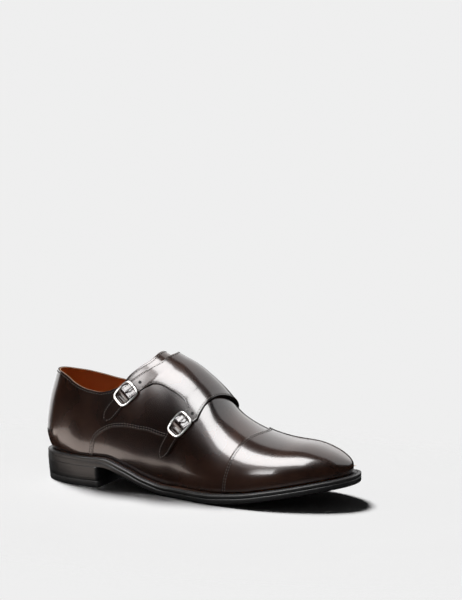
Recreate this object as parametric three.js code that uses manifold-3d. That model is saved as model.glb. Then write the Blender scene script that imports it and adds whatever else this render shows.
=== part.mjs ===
// Double monk strap shoe with a toe cap, for the right foot.
// Millimetres. +X points to the toe, +Y to the inner (medial) side, +Z up, the floor is z = 0.
// Every piece is worked out from the last, the form that a shoe is made over.
import * as THREE from 'three';
import Module from 'manifold-3d';
import { mergeVertices } from 'three/addons/utils/BufferGeometryUtils.js';

const manifold = await Module();
manifold.setup();

// Driving sizes of the last
const LAST_LENGTH = 291;
const BALL_WIDTH = 90;
const INSTEP_HEIGHT = 114;
const BACK_HEIGHT = 72;
const HEEL_CURVE = 3.4;
const TOE_SWING = 4;
const FEATHER_TUCK = 2.4;
const FEATHER_ROLL = 4.5;

// Driving sizes of the bottom
const HEEL_LIFT = 19.3;
const TOE_SPRING = 19.5;
const HEEL_EDGE = 2.5;
const WELT_EDGE = 6;
const SOLE_THICK = 4.8;
const WELT_THICK = 3;
const WELT_GROOVE = 0.8;
const SOLE_EDGE_ROUND = 1;
const HEEL_LENGTH = 66;
const HEEL_TAPER = 1.6;
const TOP_LIFT_THICK = 6;
const INSOLE_RISE = 1.4;

// Driving sizes of the leather and the clearance between pieces
const GAP = 0.3;
const TONGUE_GAP = 1.4;
const STRAP_GAP = 0.55;
const UPPER_WALL = 2;
const CAP_THICK = 1.1;
const TONGUE_THICK = 1.6;
const STRAP_THICK = 2;
const SKIVED_THICK = 0.6;
const STRAP_WIDTH = 12;

// Driving sizes of a buckle
const BUCKLE_LENGTH = 21;
const BUCKLE_WIDTH = 16.6;
const BUCKLE_WIRE = 1.8;
const BUCKLE_BAR = 2;
const BUCKLE_STAND = 2.1;
const BUCKLE_BOW = 1;
const PRONG_WIRE = 1.8;

// Fineness of the facets
const STATIONS = 42;
const GIRTH_STEPS = 12;
const TUBE_SIDES = 7;

const OUTSOLE_LENGTH = HEEL_EDGE + LAST_LENGTH + WELT_EDGE;

// A table is a list of rows under named columns; it is kept as one list per column.
function table(names, rows) {
  const columns = {};
  names.split(' ').forEach((name, k) => {
    columns[name] = rows.map((row) => row[k]);
  });
  return columns;
}

// Sections of the last. at is the share of its length from the heel. Outer, inner, ridge and swell
// are shares of BALL_WIDTH and top is a share of INSTEP_HEIGHT. Foot and crown say how square the
// section is at the sole and at the ridge, 2 being an ellipse.
const SECTIONS = table('at outer inner top ridge foot crown swell', [
  [0.00, 0.000, 0.000, 1.020, 0.000, 2.6, 2.0, 0.006],
  [0.03, 0.183, 0.178, 1.020, 0.000, 2.6, 2.0, 0.017],
  [0.08, 0.283, 0.278, 1.020, 0.000, 2.6, 2.0, 0.028],
  [0.16, 0.344, 0.339, 1.020, 0.006, 2.6, 2.0, 0.033],
  [0.26, 0.350, 0.322, 1.020, 0.017, 2.4, 2.0, 0.033],
  [0.36, 0.344, 0.283, 1.000, 0.033, 2.2, 2.0, 0.044],
  [0.46, 0.372, 0.283, 0.925, 0.056, 2.0, 2.0, 0.056],
  [0.56, 0.450, 0.350, 0.750, 0.067, 1.9, 1.9, 0.044],
  [0.64, 0.500, 0.417, 0.535, 0.061, 2.0, 2.0, 0.033],
  [0.72, 0.511, 0.461, 0.412, 0.050, 2.1, 2.1, 0.028],
  [0.80, 0.478, 0.456, 0.329, 0.044, 2.2, 2.2, 0.022],
  [0.88, 0.394, 0.406, 0.272, 0.044, 2.3, 2.3, 0.017],
  [0.94, 0.289, 0.317, 0.197, 0.044, 2.3, 2.3, 0.011],
  [0.98, 0.172, 0.194, 0.127, 0.044, 2.3, 2.3, 0.006],
  [1.00, 0.000, 0.000, 0.061, 0.044, 2.3, 2.3, 0.000],
]);

// Back line of the heel: height as a share of BACK_HEIGHT, shift as a share of HEEL_CURVE.
const BACK_LINE = table('height shift', [
  [0.00, 0.00],
  [0.25, -1.00],
  [0.556, -0.18],
  [1.00, 2.50],
  [1.61, 7.06],
]);

// Underside of the sole: at is the share of OUTSOLE_LENGTH, heel the share of HEEL_LIFT and toe
// the share of TOE_SPRING. The tread is flat on the floor from 0.45 to 0.58.
const TREAD = table('at heel toe', [
  [0.000, 1.000, 0.000],
  [0.235, 0.985, 0.000],
  [0.305, 0.660, 0.000],
  [0.375, 0.220, 0.000],
  [0.450, 0.000, 0.000],
  [0.580, 0.000, 0.000],
  [0.680, 0.000, 0.120],
  [0.800, 0.000, 0.425],
  [0.920, 0.000, 0.780],
  [1.000, 0.000, 1.000],
]);

// How far the welt stands out past the last, as a share of WELT_EDGE.
const EXTENSION = table('at share', [
  [0.00, HEEL_EDGE / WELT_EDGE],
  [0.10, HEEL_EDGE / WELT_EDGE],
  [0.24, 0.50],
  [0.40, 0.67],
  [0.55, 0.92],
  [0.80, 1.00],
  [1.00, 1.00],
]);

// Top edge of the quarters, as shares of the half girth from the sole to the ridge.
const THROAT_AT = 0.46;
const COLLAR = table('at outer inner', [
  [0.000, 0.432, 0.432],
  [0.040, 0.428, 0.412],
  [0.080, 0.412, 0.397],
  [0.125, 0.377, 0.378],
  [0.175, 0.349, 0.360],
  [0.225, 0.339, 0.352],
  [0.251, 0.352, 0.358],
  [0.275, 0.385, 0.378],
  [0.300, 0.425, 0.412],
  [0.335, 0.478, 0.470],
  [0.372, 0.560, 0.555],
  [0.410, 0.710, 0.710],
  [0.440, 0.860, 0.860],
  [THROAT_AT, 1.000, 1.000],
]);

// Toe cap seam: it crosses the ridge at CAP_AT + CAP_SWEEP and runs back towards the sole.
const CAP_AT = 0.65;
const CAP_SWEEP = 0.075;
const CAP_BEND = 1.7;
const CAP_ROUND = 0.12;
const CAP_HEM = 0.03;

// The flap is the part of the inner quarter that crosses the instep. Girth runs from -1 at the
// outer feather edge over the ridge, 0, to 1 at the inner feather edge.
const FLAP = table('rearAt rearGirth frontAt frontGirth', [
  [0.300, 0.565, 0.545, 0.640],
  [0.335, 0.490, 0.572, 0.540],
  [0.372, 0.375, 0.592, 0.400],
  [0.404, 0.210, 0.600, 0.220],
  [0.424, 0.000, 0.592, 0.000],
  [0.415, -0.150, 0.575, -0.200],
  [0.396, -0.285, 0.560, -0.350],
]);

// Cut-out between the two straps, from the root of the rear one to the root of the front one.
const CUT_OUT = table('at girth', [
  [0.373, -0.504],
  [0.396, -0.453],
  [0.424, -0.426],
  [0.453, -0.428],
  [0.478, -0.434],
  [0.498, -0.441],
  [0.506, -0.456],
]);

// The two straps at their buckles. Slope is the angle of the strap below the horizontal, in
// degrees, as seen from the side. Root and tip are measured along the strap from the buckle.
const STRAPS = [
  { name: 'rear', at: 0.315, girth: -0.607, slope: 45.8, root: 13.5, tip: 29, nose: 0.35 },
  { name: 'front', at: 0.501, girth: -0.615, slope: 52.5, root: 14.5, tip: 29, nose: 0.15 },
];

// Outline of a strap's end: the last NOSE_LENGTH of it, width as a share of the strap's.
const NOSE_LENGTH = 9;
const NOSE = table('share width', [
  [0.00, 1.00],
  [0.40, 0.94],
  [0.70, 0.70],
  [0.90, 0.38],
  [1.00, 0.00],
]);
const HUMP_REACH = 7.5;
const HUMP_FULLNESS = 1.6;

// Tongue: its free edge, then where it ends under the vamp.
const TONGUE_END = 0.6;
const TONGUE_SIDE = 0.6;
const TONGUE_EDGE = table('at girth', [
  [0.292, -0.585],
  [0.308, -0.512],
  [0.329, -0.437],
  [0.350, -0.355],
  [0.369, -0.270],
  [0.381, -0.150],
  [0.386, 0.000],
  [0.381, 0.150],
  [0.369, 0.270],
  [0.350, 0.355],
  [0.329, 0.437],
  [0.308, 0.512],
  [0.292, 0.585],
]);

// A smooth curve through a table's rows that never swings past them.
function curve(xs, ys) {
  const span = xs.slice(1).map((x, i) => x - xs[i]);
  const rise = ys.slice(1).map((y, i) => (y - ys[i]) / span[i]);
  const slope = xs.map((x, i) => {
    if (i === 0) return rise[0];
    if (i === xs.length - 1) return rise[i - 1];
    if (rise[i - 1] * rise[i] <= 0) return 0;
    const before = 2 * span[i] + span[i - 1];
    const after = span[i] + 2 * span[i - 1];
    return (before + after) / (before / rise[i - 1] + after / rise[i]);
  });
  return (x) => {
    const held = Math.min(Math.max(x, xs[0]), xs[xs.length - 1]);
    let i = 0;
    while (i < span.length - 1 && held > xs[i + 1]) i += 1;
    const t = (held - xs[i]) / span[i];
    const back = 1 - t;
    return (1 + 2 * t) * back * back * ys[i] + t * back * back * span[i] * slope[i]
      + t * t * (3 - 2 * t) * ys[i + 1] - t * t * back * span[i] * slope[i + 1];
  };
}

function smoothStep(t) {
  const held = Math.min(Math.max(t, 0), 1);
  return held * held * (3 - 2 * held);
}

// Sections are spaced by the angle of a turn from heel to toe, so that both ends stay round.
function turn(at) {
  return Math.acos(Math.min(Math.max(1 - 2 * at, -1), 1)) / Math.PI;
}
function sectionCurve(name) {
  const through = curve(SECTIONS.at.map(turn), SECTIONS[name]);
  return (at) => through(turn(at));
}
const section = {
  outer: sectionCurve('outer'),
  inner: sectionCurve('inner'),
  top: sectionCurve('top'),
  ridge: sectionCurve('ridge'),
  foot: sectionCurve('foot'),
  crown: sectionCurve('crown'),
  swell: sectionCurve('swell'),
};
const backShift = curve(BACK_LINE.height, BACK_LINE.shift);
const treadHeel = curve(TREAD.at, TREAD.heel);
const treadToe = curve(TREAD.at, TREAD.toe);
const extensionShare = curve(EXTENSION.at, EXTENSION.share);

const BACK_FADE_END = 0.3;
const BACK_FADE_POWER = 1.5;
const SWING_FROM = 0.5;
const NARROW_HALF = 20;

function lengthAt(at) {
  return HEEL_EDGE + at * LAST_LENGTH;
}
function underside(x) {
  const share = x / OUTSOLE_LENGTH;
  return HEEL_LIFT * treadHeel(share) + TOE_SPRING * treadToe(share);
}
function soleTop(x) {
  return underside(x) + SOLE_THICK;
}
function weltTop(x) {
  return soleTop(x) + GAP + WELT_THICK;
}
function seat(x) {
  return weltTop(x) + GAP;
}
function swing(at) {
  return TOE_SWING * smoothStep((at - SWING_FROM) / (1 - SWING_FROM));
}
function halfWidth(at, side) {
  return BALL_WIDTH * (side < 0 ? section.outer(at) : section.inner(at));
}
function extension(at) {
  return WELT_EDGE * extensionShare(at);
}

// Direction in plan that points straight out from the feather line. Side is -1 or 1.
const NEAR = 1e-6;
function outward(at, side) {
  if (at < NEAR) return new THREE.Vector2(-1, 0);
  if (at > 1 - NEAR) return new THREE.Vector2(1, 0);
  const step = 1e-4;
  const from = Math.max(at - step, step);
  const to = Math.min(at + step, 1 - step);
  const run = (to - from) * LAST_LENGTH;
  const across = side * (halfWidth(to, side) - halfWidth(from, side)) + swing(to) - swing(from);
  return new THREE.Vector2(-across * side, run * side).normalize();
}

// The surface of the last at a share of its length and of its girth.
function lastPoint(at, side, rise) {
  const angle = rise * Math.PI / 2;
  const cos = Math.max(Math.cos(angle), 0);
  const sin = Math.sin(angle);
  const half = halfWidth(at, side);
  const bulge = BALL_WIDTH * section.swell(at) * Math.sin(2 * angle) * Math.min(half / NARROW_HALF, 1);
  const across = half * cos ** (2 / section.foot(at)) + bulge;
  const up = INSTEP_HEIGHT * section.top(at) * sin ** (2 / section.crown(at));
  const fade = Math.max(1 - at / BACK_FADE_END, 0) ** BACK_FADE_POWER;
  const out = outward(at, side);
  const tuck = FEATHER_TUCK * Math.exp(-up / FEATHER_ROLL);
  return new THREE.Vector3(
    lengthAt(at) + fade * HEEL_CURVE * backShift(up / BACK_HEIGHT) - out.x * tuck,
    side * across + swing(at) * (1 - sin) + BALL_WIDTH * section.ridge(at) * sin - out.y * tuck,
    seat(lengthAt(at)) + up,
  );
}

function sideNormal(at, side, rise) {
  const alongStep = 4e-4;
  const girthStep = 1e-3;
  const a = Math.min(Math.max(at, 1e-3), 1 - 1e-3);
  const r = Math.min(Math.max(rise, 2e-3), 1 - 2e-3);
  const along = lastPoint(a + alongStep, side, r).sub(lastPoint(a - alongStep, side, r));
  const round = lastPoint(a, side, r + girthStep).sub(lastPoint(a, side, r - girthStep));
  return along.cross(round).multiplyScalar(-side).normalize();
}

// A point on the surface at a signed girth, lifted along the surface's normal.
function surface(at, girth, lift) {
  const side = girth < 0 ? -1 : 1;
  const rise = 1 - Math.abs(girth);
  const normal = sideNormal(at, side, rise);
  if (at < NEAR || at > 1 - NEAR || rise > 1 - NEAR) {
    normal.add(sideNormal(at, -side, rise)).normalize();
  }
  return lastPoint(at, side, rise).addScaledVector(normal, lift);
}

// Builders

const WELD = 1e4;

// Collects triangles by their corners and leaves out those that have closed up.
class Facets {
  constructor() {
    this.positions = [];
  }
  triangle(a, b, c) {
    const flat = a.distanceTo(b) * WELD < 1 || b.distanceTo(c) * WELD < 1 || c.distanceTo(a) * WELD < 1;
    if (!flat) [a, b, c].forEach((p) => this.positions.push(p.x, p.y, p.z));
  }
  quad(a, b, c, d) {
    if (a.distanceTo(c) <= b.distanceTo(d)) {
      this.triangle(a, b, c);
      this.triangle(a, c, d);
    } else {
      this.triangle(a, b, d);
      this.triangle(b, c, d);
    }
  }
  geometry() {
    const result = new THREE.BufferGeometry();
    result.setAttribute('position', new THREE.Float32BufferAttribute(this.positions, 3));
    return mergeVertices(result, 1 / WELD);
  }
}

// A sheet of leather: patches of cells { at, girth, low, high } given as rows of rows. The faces
// at the high lifts point out, those at the low lifts point in, and every free edge is walled up.
function sheet(patches) {
  const outer = [];
  const inner = [];
  const known = new Map();
  const faces = [];
  const index = (cell) => {
    const out = surface(cell.at, cell.girth, cell.high);
    const key = out.toArray().map((value) => Math.round(value * 1000)).join();
    if (!known.has(key)) {
      known.set(key, outer.length);
      outer.push(out);
      inner.push(surface(cell.at, cell.girth, cell.low));
    }
    return known.get(key);
  };
  const face = (a, b, c) => {
    if (a !== b && b !== c && c !== a) faces.push([a, b, c]);
  };
  patches.forEach((rows) => {
    const ids = rows.map((row) => row.map(index));
    for (let i = 0; i < ids.length - 1; i += 1) {
      for (let j = 0; j < ids[i].length - 1; j += 1) {
        const [a, b, c, d] = [ids[i][j], ids[i + 1][j], ids[i + 1][j + 1], ids[i][j + 1]];
        if (outer[a].distanceTo(outer[c]) <= outer[b].distanceTo(outer[d])) {
          face(a, b, c);
          face(a, c, d);
        } else {
          face(a, b, d);
          face(b, c, d);
        }
      }
    }
  });
  const used = new Set();
  faces.forEach(([a, b, c]) => [`${a},${b}`, `${b},${c}`, `${c},${a}`].forEach((e) => used.add(e)));
  const facets = new Facets();
  faces.forEach(([a, b, c]) => {
    facets.triangle(outer[a], outer[b], outer[c]);
    facets.triangle(inner[a], inner[c], inner[b]);
    [[a, b], [b, c], [c, a]].forEach(([from, to]) => {
      if (!used.has(`${to},${from}`)) facets.quad(outer[to], outer[from], inner[from], inner[to]);
    });
  });
  return facets.geometry();
}

// Stations from heel to toe, close together where the outline turns.
function stations(from, to, count) {
  const start = turn(from);
  const end = turn(to);
  return Array.from({ length: count + 1 }, (_, i) => {
    if (i === 0) return from;
    if (i === count) return to;
    return (1 - Math.cos(Math.PI * (start + (end - start) * i / count))) / 2;
  });
}

// A point beside the feather line, moved out in plan.
function beside(at, side, out) {
  const normal = outward(at, side);
  return new THREE.Vector2(
    lengthAt(at) + normal.x * out,
    side * halfWidth(at, side) + swing(at) + normal.y * out,
  );
}

// A plate with the outline of the sole. Levels run from the bottom up, each with out(at), its
// distance from the feather line, and height(x). With an end at a straight face, squareX is that
// face's x.
function plate(ats, levels, squareX) {
  const facets = new Facets();
  const ring = levels.map((level) => [-1, 1].map((side) => ats.map((at, i) => {
    const flat = beside(at, side, level.out(at));
    if (squareX !== undefined && i === ats.length - 1) flat.x = squareX;
    return new THREE.Vector3(flat.x, flat.y, level.height(flat.x));
  })));
  const last = ats.length - 1;
  for (let k = 0; k < levels.length - 1; k += 1) {
    const [low, high] = [ring[k], ring[k + 1]];
    for (let i = 0; i < last; i += 1) {
      facets.quad(low[0][i], low[0][i + 1], high[0][i + 1], high[0][i]);
      facets.quad(low[1][i + 1], low[1][i], high[1][i], high[1][i + 1]);
    }
    facets.quad(low[0][last], low[1][last], high[1][last], high[0][last]);
  }
  const [bottom, top] = [ring[0], ring[levels.length - 1]];
  for (let i = 0; i < last; i += 1) {
    facets.quad(top[0][i], top[0][i + 1], top[1][i + 1], top[1][i]);
    facets.quad(bottom[0][i], bottom[1][i], bottom[1][i + 1], bottom[0][i + 1]);
  }
  return facets.geometry();
}

// A closed strip that follows the whole outline. The profile is a closed list of
// { out(at), height(x) }, running anticlockwise as seen with the shoe's inside on the left.
function strip(ats, profile) {
  const facets = new Facets();
  const loop = [
    ...ats.map((at) => ({ at, side: -1 })),
    ...ats.slice(1, -1).reverse().map((at) => ({ at, side: 1 })),
  ];
  const rings = loop.map(({ at, side }) => profile.map((corner) => {
    const flat = beside(at, side, corner.out(at));
    return new THREE.Vector3(flat.x, flat.y, corner.height(flat.x));
  }));
  rings.forEach((ring, i) => {
    const next = rings[(i + 1) % rings.length];
    ring.forEach((_, k) => {
      const up = (k + 1) % profile.length;
      facets.quad(ring[k], next[k], next[up], ring[up]);
    });
  });
  return facets.geometry();
}

// Pieces of the bottom

function outsole() {
  const chamfer = (at) => extension(at) - SOLE_EDGE_ROUND;
  return plate(stations(0, 1, STATIONS), [
    { out: chamfer, height: underside },
    { out: extension, height: (x) => underside(x) + SOLE_EDGE_ROUND },
    { out: extension, height: (x) => soleTop(x) - SOLE_EDGE_ROUND / 2 },
    { out: (at) => extension(at) - SOLE_EDGE_ROUND / 2, height: soleTop },
  ]);
}

// The upper's wall stands on the welt, and the insole lies inside both.
const insideFeather = FEATHER_TUCK + UPPER_WALL + GAP;

function welt() {
  const bottom = (x) => soleTop(x) + GAP;
  const groove = (x) => weltTop(x) - WELT_GROOVE;
  return strip(stations(0, 1, STATIONS), [
    { out: () => -insideFeather, height: bottom },
    { out: (at) => extension(at) - SOLE_EDGE_ROUND / 2, height: bottom },
    { out: extension, height: (x) => bottom(x) + SOLE_EDGE_ROUND },
    { out: extension, height: groove },
    { out: (at) => extension(at) - WELT_GROOVE, height: weltTop },
    { out: () => -insideFeather, height: weltTop },
  ]);
}

function insole() {
  const inside = () => -(insideFeather + GAP);
  return plate(stations(0, 1, STATIONS), [
    { out: inside, height: (x) => soleTop(x) + GAP },
    { out: inside, height: (x) => seat(x) + INSOLE_RISE / 2 },
    { out: () => inside() - INSOLE_RISE / 2, height: (x) => seat(x) + INSOLE_RISE },
  ]);
}

const HEEL_STATIONS = 14;
const breastAt = (HEEL_LENGTH - HEEL_EDGE) / LAST_LENGTH;

function heelOut(height) {
  return (at) => extension(at) - HEEL_TAPER * (1 - height / HEEL_LIFT);
}

function heelStack() {
  const bottom = TOP_LIFT_THICK + GAP;
  return plate(stations(0, breastAt, HEEL_STATIONS), [
    { out: heelOut(bottom), height: () => bottom },
    { out: heelOut(HEEL_LIFT), height: (x) => underside(x) - GAP },
  ], HEEL_LENGTH);
}

function topLift() {
  return plate(stations(0, breastAt, HEEL_STATIONS), [
    { out: heelOut(0), height: () => 0 },
    { out: heelOut(TOP_LIFT_THICK), height: () => TOP_LIFT_THICK },
  ], HEEL_LENGTH);
}

// Pieces of the upper

const collar = {
  outer: curve(COLLAR.at, COLLAR.outer),
  inner: curve(COLLAR.at, COLLAR.inner),
};

// Girths of one side from the feather edge up to the collar or the ridge, closer at the feather.
function girths(side, top) {
  const crowding = 1.15;
  const rises = Array.from({ length: GIRTH_STEPS + 1 }, (_, j) => top * (j / GIRTH_STEPS) ** crowding);
  return rises.map((rise) => side * (1 - rise));
}

// Girths of both sides, from the outer feather edge over the ridge to the inner one.
const wholeGirth = [...girths(-1, 1), ...girths(1, 1).reverse().slice(1)];
const rearStations = stations(0, THROAT_AT, Math.round(STATIONS * turn(THROAT_AT)));
const foreStations = stations(THROAT_AT, 1, Math.round(STATIONS * (1 - turn(THROAT_AT))));

function upper() {
  const cell = (at) => (girth) => ({ at, girth, high: 0, low: -UPPER_WALL });
  const outerQuarter = rearStations.map((at) => girths(-1, collar.outer(at)).map(cell(at)));
  const innerQuarter = rearStations.map((at) => girths(1, collar.inner(at)).reverse().map(cell(at)));
  const vamp = foreStations.map((at) => wholeGirth.map(cell(at)));
  return sheet([outerQuarter, innerQuarter, vamp]);
}

// The cap's facets follow those of the vamp beneath it, so that the two stay a gap apart.
function toeCap() {
  const seam = (girth) => {
    const down = Math.hypot(girth, CAP_ROUND) - CAP_ROUND;
    return CAP_AT + CAP_SWEEP * (1 - down) ** CAP_BEND;
  };
  const beyond = foreStations.filter((at) => at > CAP_AT + CAP_SWEEP + CAP_HEM);
  const cell = (at, girth) => {
    const held = Math.sign(girth) * Math.min(Math.abs(girth), 1 - CAP_HEM);
    return { at, girth: held, low: GAP, high: GAP + CAP_THICK };
  };
  const seamRows = 4;
  return sheet([[
    ...Array.from({ length: seamRows }, (_, i) => wholeGirth.map((girth) => (
      cell(seam(girth) + (beyond[0] - seam(girth)) * i / seamRows, girth)
    ))),
    ...beyond.map((at) => wholeGirth.map((girth) => cell(at, girth))),
  ]]);
}

function tongue() {
  const rows = 8;
  const columns = 16;
  const edge = new THREE.SplineCurve(TONGUE_EDGE.at.map((at, k) => new THREE.Vector2(at, TONGUE_EDGE.girth[k])));
  const high = -(UPPER_WALL + TONGUE_GAP);
  return sheet([Array.from({ length: rows + 1 }, (_, i) => (
    Array.from({ length: columns + 1 }, (__, j) => {
      const free = edge.getPoint(j / columns);
      const held = new THREE.Vector2(TONGUE_END, TONGUE_SIDE * (2 * j / columns - 1));
      const at = free.x + (held.x - free.x) * i / rows;
      const girth = free.y + (held.y - free.y) * i / rows;
      return { at, girth, high, low: high - TONGUE_THICK };
    })
  ))]);
}

// A chart of the leather round a buckle: u runs along the strap to its tip, w across it to the
// front, both in millimetres, and the chart gives back the share of length and the girth.
function strapChart(strap) {
  const step = 1e-3;
  const centre = surface(strap.at, strap.girth, 0);
  const byAt = surface(strap.at + step, strap.girth, 0).sub(centre).divideScalar(step);
  const byGirth = surface(strap.at, strap.girth + step, 0).sub(centre).divideScalar(step);
  const normal = byAt.clone().cross(byGirth).normalize();
  const slope = THREE.MathUtils.degToRad(strap.slope);
  const along = new THREE.Vector3(-Math.cos(slope), 0, -Math.sin(slope)).projectOnPlane(normal).normalize();
  const across = along.clone().cross(normal).normalize();
  if (across.x < 0) across.negate();
  const solve = (direction) => {
    const [aa, ab, bb] = [byAt.dot(byAt), byAt.dot(byGirth), byGirth.dot(byGirth)];
    const [da, db] = [direction.dot(byAt), direction.dot(byGirth)];
    const scale = aa * bb - ab * ab;
    return new THREE.Vector2((da * bb - db * ab) / scale, (db * aa - da * ab) / scale);
  };
  const [unitAlong, unitAcross] = [solve(along), solve(across)];
  return (u, w) => ({
    at: strap.at + unitAlong.x * u + unitAcross.x * w,
    girth: strap.girth + unitAlong.y * u + unitAcross.y * w,
  });
}

const barTop = BUCKLE_STAND + BUCKLE_BAR / 2;

// Lift of the strap's underside: it climbs over the centre bar of the buckle.
function strapLift(u) {
  const near = Math.max(1 - Math.abs(u) / HUMP_REACH, 0);
  return STRAP_GAP + barTop * smoothStep(near * HUMP_FULLNESS);
}

const nose = curve(NOSE.share, NOSE.width);
const STRAP_ROWS = 16;
const STRAP_COLUMNS = 4;

function strapPatch(strap) {
  const chart = strapChart(strap);
  const length = strap.root + strap.tip;
  return Array.from({ length: STRAP_ROWS + 1 }, (_, i) => {
    const u = -strap.root + length * i / STRAP_ROWS;
    const share = Math.max(u - (strap.tip - NOSE_LENGTH), 0) / NOSE_LENGTH;
    const width = Math.max(nose(share), strap.nose * share);
    return Array.from({ length: STRAP_COLUMNS + 1 }, (__, j) => {
      const w = STRAP_WIDTH * width * (j / STRAP_COLUMNS - 0.5);
      const low = strapLift(u);
      return { ...chart(u, w), low, high: low + STRAP_THICK };
    });
  });
}

const FLAP_ROWS = 16;
const CUT_COLUMNS = 9;
const CUT_FROM = 0.16;
const CUT_TO = 0.83;
const FLAP_BEND = 2;
const SKIVED_SHARE = 0.25;

function flapPatch(rearStrap, frontStrap) {
  const [rearRoot, frontRoot] = [rearStrap[0], frontStrap[0]];
  const cut = new THREE.SplineCurve([
    rearRoot[STRAP_COLUMNS],
    ...CUT_OUT.at.map((at, k) => ({ at, girth: CUT_OUT.girth[k] })),
    frontRoot[0],
  ].map(({ at, girth }) => new THREE.Vector2(at, girth)));
  const end = [];
  rearRoot.forEach(({ at, girth }, j) => end.push({ m: CUT_FROM * j / STRAP_COLUMNS, at, girth }));
  for (let j = 1; j < CUT_COLUMNS; j += 1) {
    const point = cut.getPoint(j / CUT_COLUMNS);
    end.push({ m: CUT_FROM + (CUT_TO - CUT_FROM) * j / CUT_COLUMNS, at: point.x, girth: point.y });
  }
  frontRoot.forEach(({ at, girth }, j) => (
    end.push({ m: CUT_TO + (1 - CUT_TO) * j / STRAP_COLUMNS, at, girth })
  ));
  const [first, last] = [end[0], end[end.length - 1]];
  const line = (at, girth, to) => new THREE.SplineCurve([
    ...FLAP[at].map((value, k) => new THREE.Vector2(value, FLAP[girth][k])),
    new THREE.Vector2(to.at, to.girth),
  ]);
  const rear = line('rearAt', 'rearGirth', first);
  const front = line('frontAt', 'frontGirth', last);
  return Array.from({ length: FLAP_ROWS + 1 }, (_, i) => {
    const t = i / FLAP_ROWS;
    const [back, fore] = [rear.getPoint(t), front.getPoint(t)];
    const low = STRAP_GAP;
    const high = low + SKIVED_THICK + (STRAP_THICK - SKIVED_THICK) * smoothStep(t / SKIVED_SHARE);
    return end.map(({ m, at, girth }) => {
      const bend = t ** FLAP_BEND;
      const pull = {
        at: at - (first.at + (last.at - first.at) * m),
        girth: girth - (first.girth + (last.girth - first.girth) * m),
      };
      return {
        at: back.x + (fore.x - back.x) * m + pull.at * bend,
        girth: back.y + (fore.y - back.y) * m + pull.girth * bend,
        low,
        high,
      };
    });
  });
}

function strapWing() {
  const [rearStrap, frontStrap] = STRAPS.map(strapPatch);
  return sheet([flapPatch(rearStrap, frontStrap), rearStrap, frontStrap]);
}

// Buckles

// A closed loop of wire: path(t) and lift(t) are given in the chart, t being a share of the loop.
function wireLoop(strap, path, count, radius) {
  const chart = strapChart(strap);
  const centres = Array.from({ length: count }, (_, i) => {
    const { u, w, lift } = path(i / count);
    const { at, girth } = chart(u, w);
    const foot = surface(at, girth, 0);
    const point = surface(at, girth, lift);
    return { point, up: point.clone().sub(foot).normalize() };
  });
  const rings = centres.map(({ point, up }, i) => {
    const before = centres[(i + count - 1) % count].point;
    const after = centres[(i + 1) % count].point;
    const ahead = after.clone().sub(before).normalize();
    const out = ahead.clone().cross(up).normalize();
    const lift = out.clone().cross(ahead).normalize();
    return Array.from({ length: TUBE_SIDES }, (_, k) => {
      const angle = 2 * Math.PI * k / TUBE_SIDES;
      return point.clone()
        .addScaledVector(out, radius * Math.cos(angle))
        .addScaledVector(lift, radius * Math.sin(angle));
    });
  });
  const facets = new Facets();
  rings.forEach((ring, i) => {
    const next = rings[(i + 1) % count];
    ring.forEach((_, k) => {
      const round = (k + 1) % TUBE_SIDES;
      facets.quad(ring[k], next[k], next[round], ring[round]);
    });
  });
  return facets.geometry();
}

// A straight pin between two points, with closed ends.
function pin(from, to, startRadius, endRadius) {
  const length = from.distanceTo(to);
  const shape = new THREE.CylinderGeometry(endRadius, startRadius, length, TUBE_SIDES);
  const ahead = to.clone().sub(from).normalize();
  shape.applyQuaternion(new THREE.Quaternion().setFromUnitVectors(new THREE.Vector3(0, 1, 0), ahead));
  shape.translate(...from.clone().add(to).multiplyScalar(0.5).toArray());
  shape.deleteAttribute('normal');
  shape.deleteAttribute('uv');
  return mergeVertices(shape, 1 / WELD);
}

function solid(geometry) {
  return new manifold.Manifold(new manifold.Mesh({
    numProp: 3,
    vertProperties: new Float32Array(geometry.attributes.position.array),
    triVerts: new Uint32Array(geometry.index.array),
  }));
}

function geometryOf(body) {
  const mesh = body.getMesh();
  const result = new THREE.BufferGeometry();
  result.setAttribute('position', new THREE.BufferAttribute(mesh.vertProperties, 3));
  result.setIndex(new THREE.BufferAttribute(mesh.triVerts, 1));
  return result;
}

function chartPoint(strap, u, w, lift) {
  const { at, girth } = strapChart(strap)(u, w);
  return surface(at, girth, lift);
}

const frameLength = BUCKLE_LENGTH - BUCKLE_WIRE;
const frameWidth = BUCKLE_WIDTH - BUCKLE_WIRE;
const sideLift = barTop + BUCKLE_WIRE / 4;

// The frame is a rounded rectangle of wire, a superellipse, that rises towards its two ends to
// clear the strap. The centre bar joins its sides.
const FRAME_SQUARENESS = 4;
const FRAME_STEPS = 32;

function frameLift(u) {
  const endLift = STRAP_GAP + STRAP_THICK + GAP + BUCKLE_WIRE / 2;
  const share = Math.abs(u) / (frameLength / 2);
  return sideLift + (endLift + BUCKLE_BOW - sideLift) * share ** 2;
}

function buckleFrame(strap) {
  const corner = (value) => Math.sign(value) * Math.abs(value) ** (2 / FRAME_SQUARENESS);
  const frame = wireLoop(strap, (t) => {
    const angle = 2 * Math.PI * t;
    const u = frameLength / 2 * corner(Math.cos(angle));
    return { u, w: frameWidth / 2 * corner(Math.sin(angle)), lift: frameLift(u) };
  }, FRAME_STEPS, BUCKLE_WIRE / 2);
  const bar = pin(
    chartPoint(strap, 0, -frameWidth / 2, BUCKLE_STAND),
    chartPoint(strap, 0, frameWidth / 2, BUCKLE_STAND),
    BUCKLE_BAR / 2,
    BUCKLE_BAR / 2,
  );
  return geometryOf(solid(frame).add(solid(bar)));
}

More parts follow.
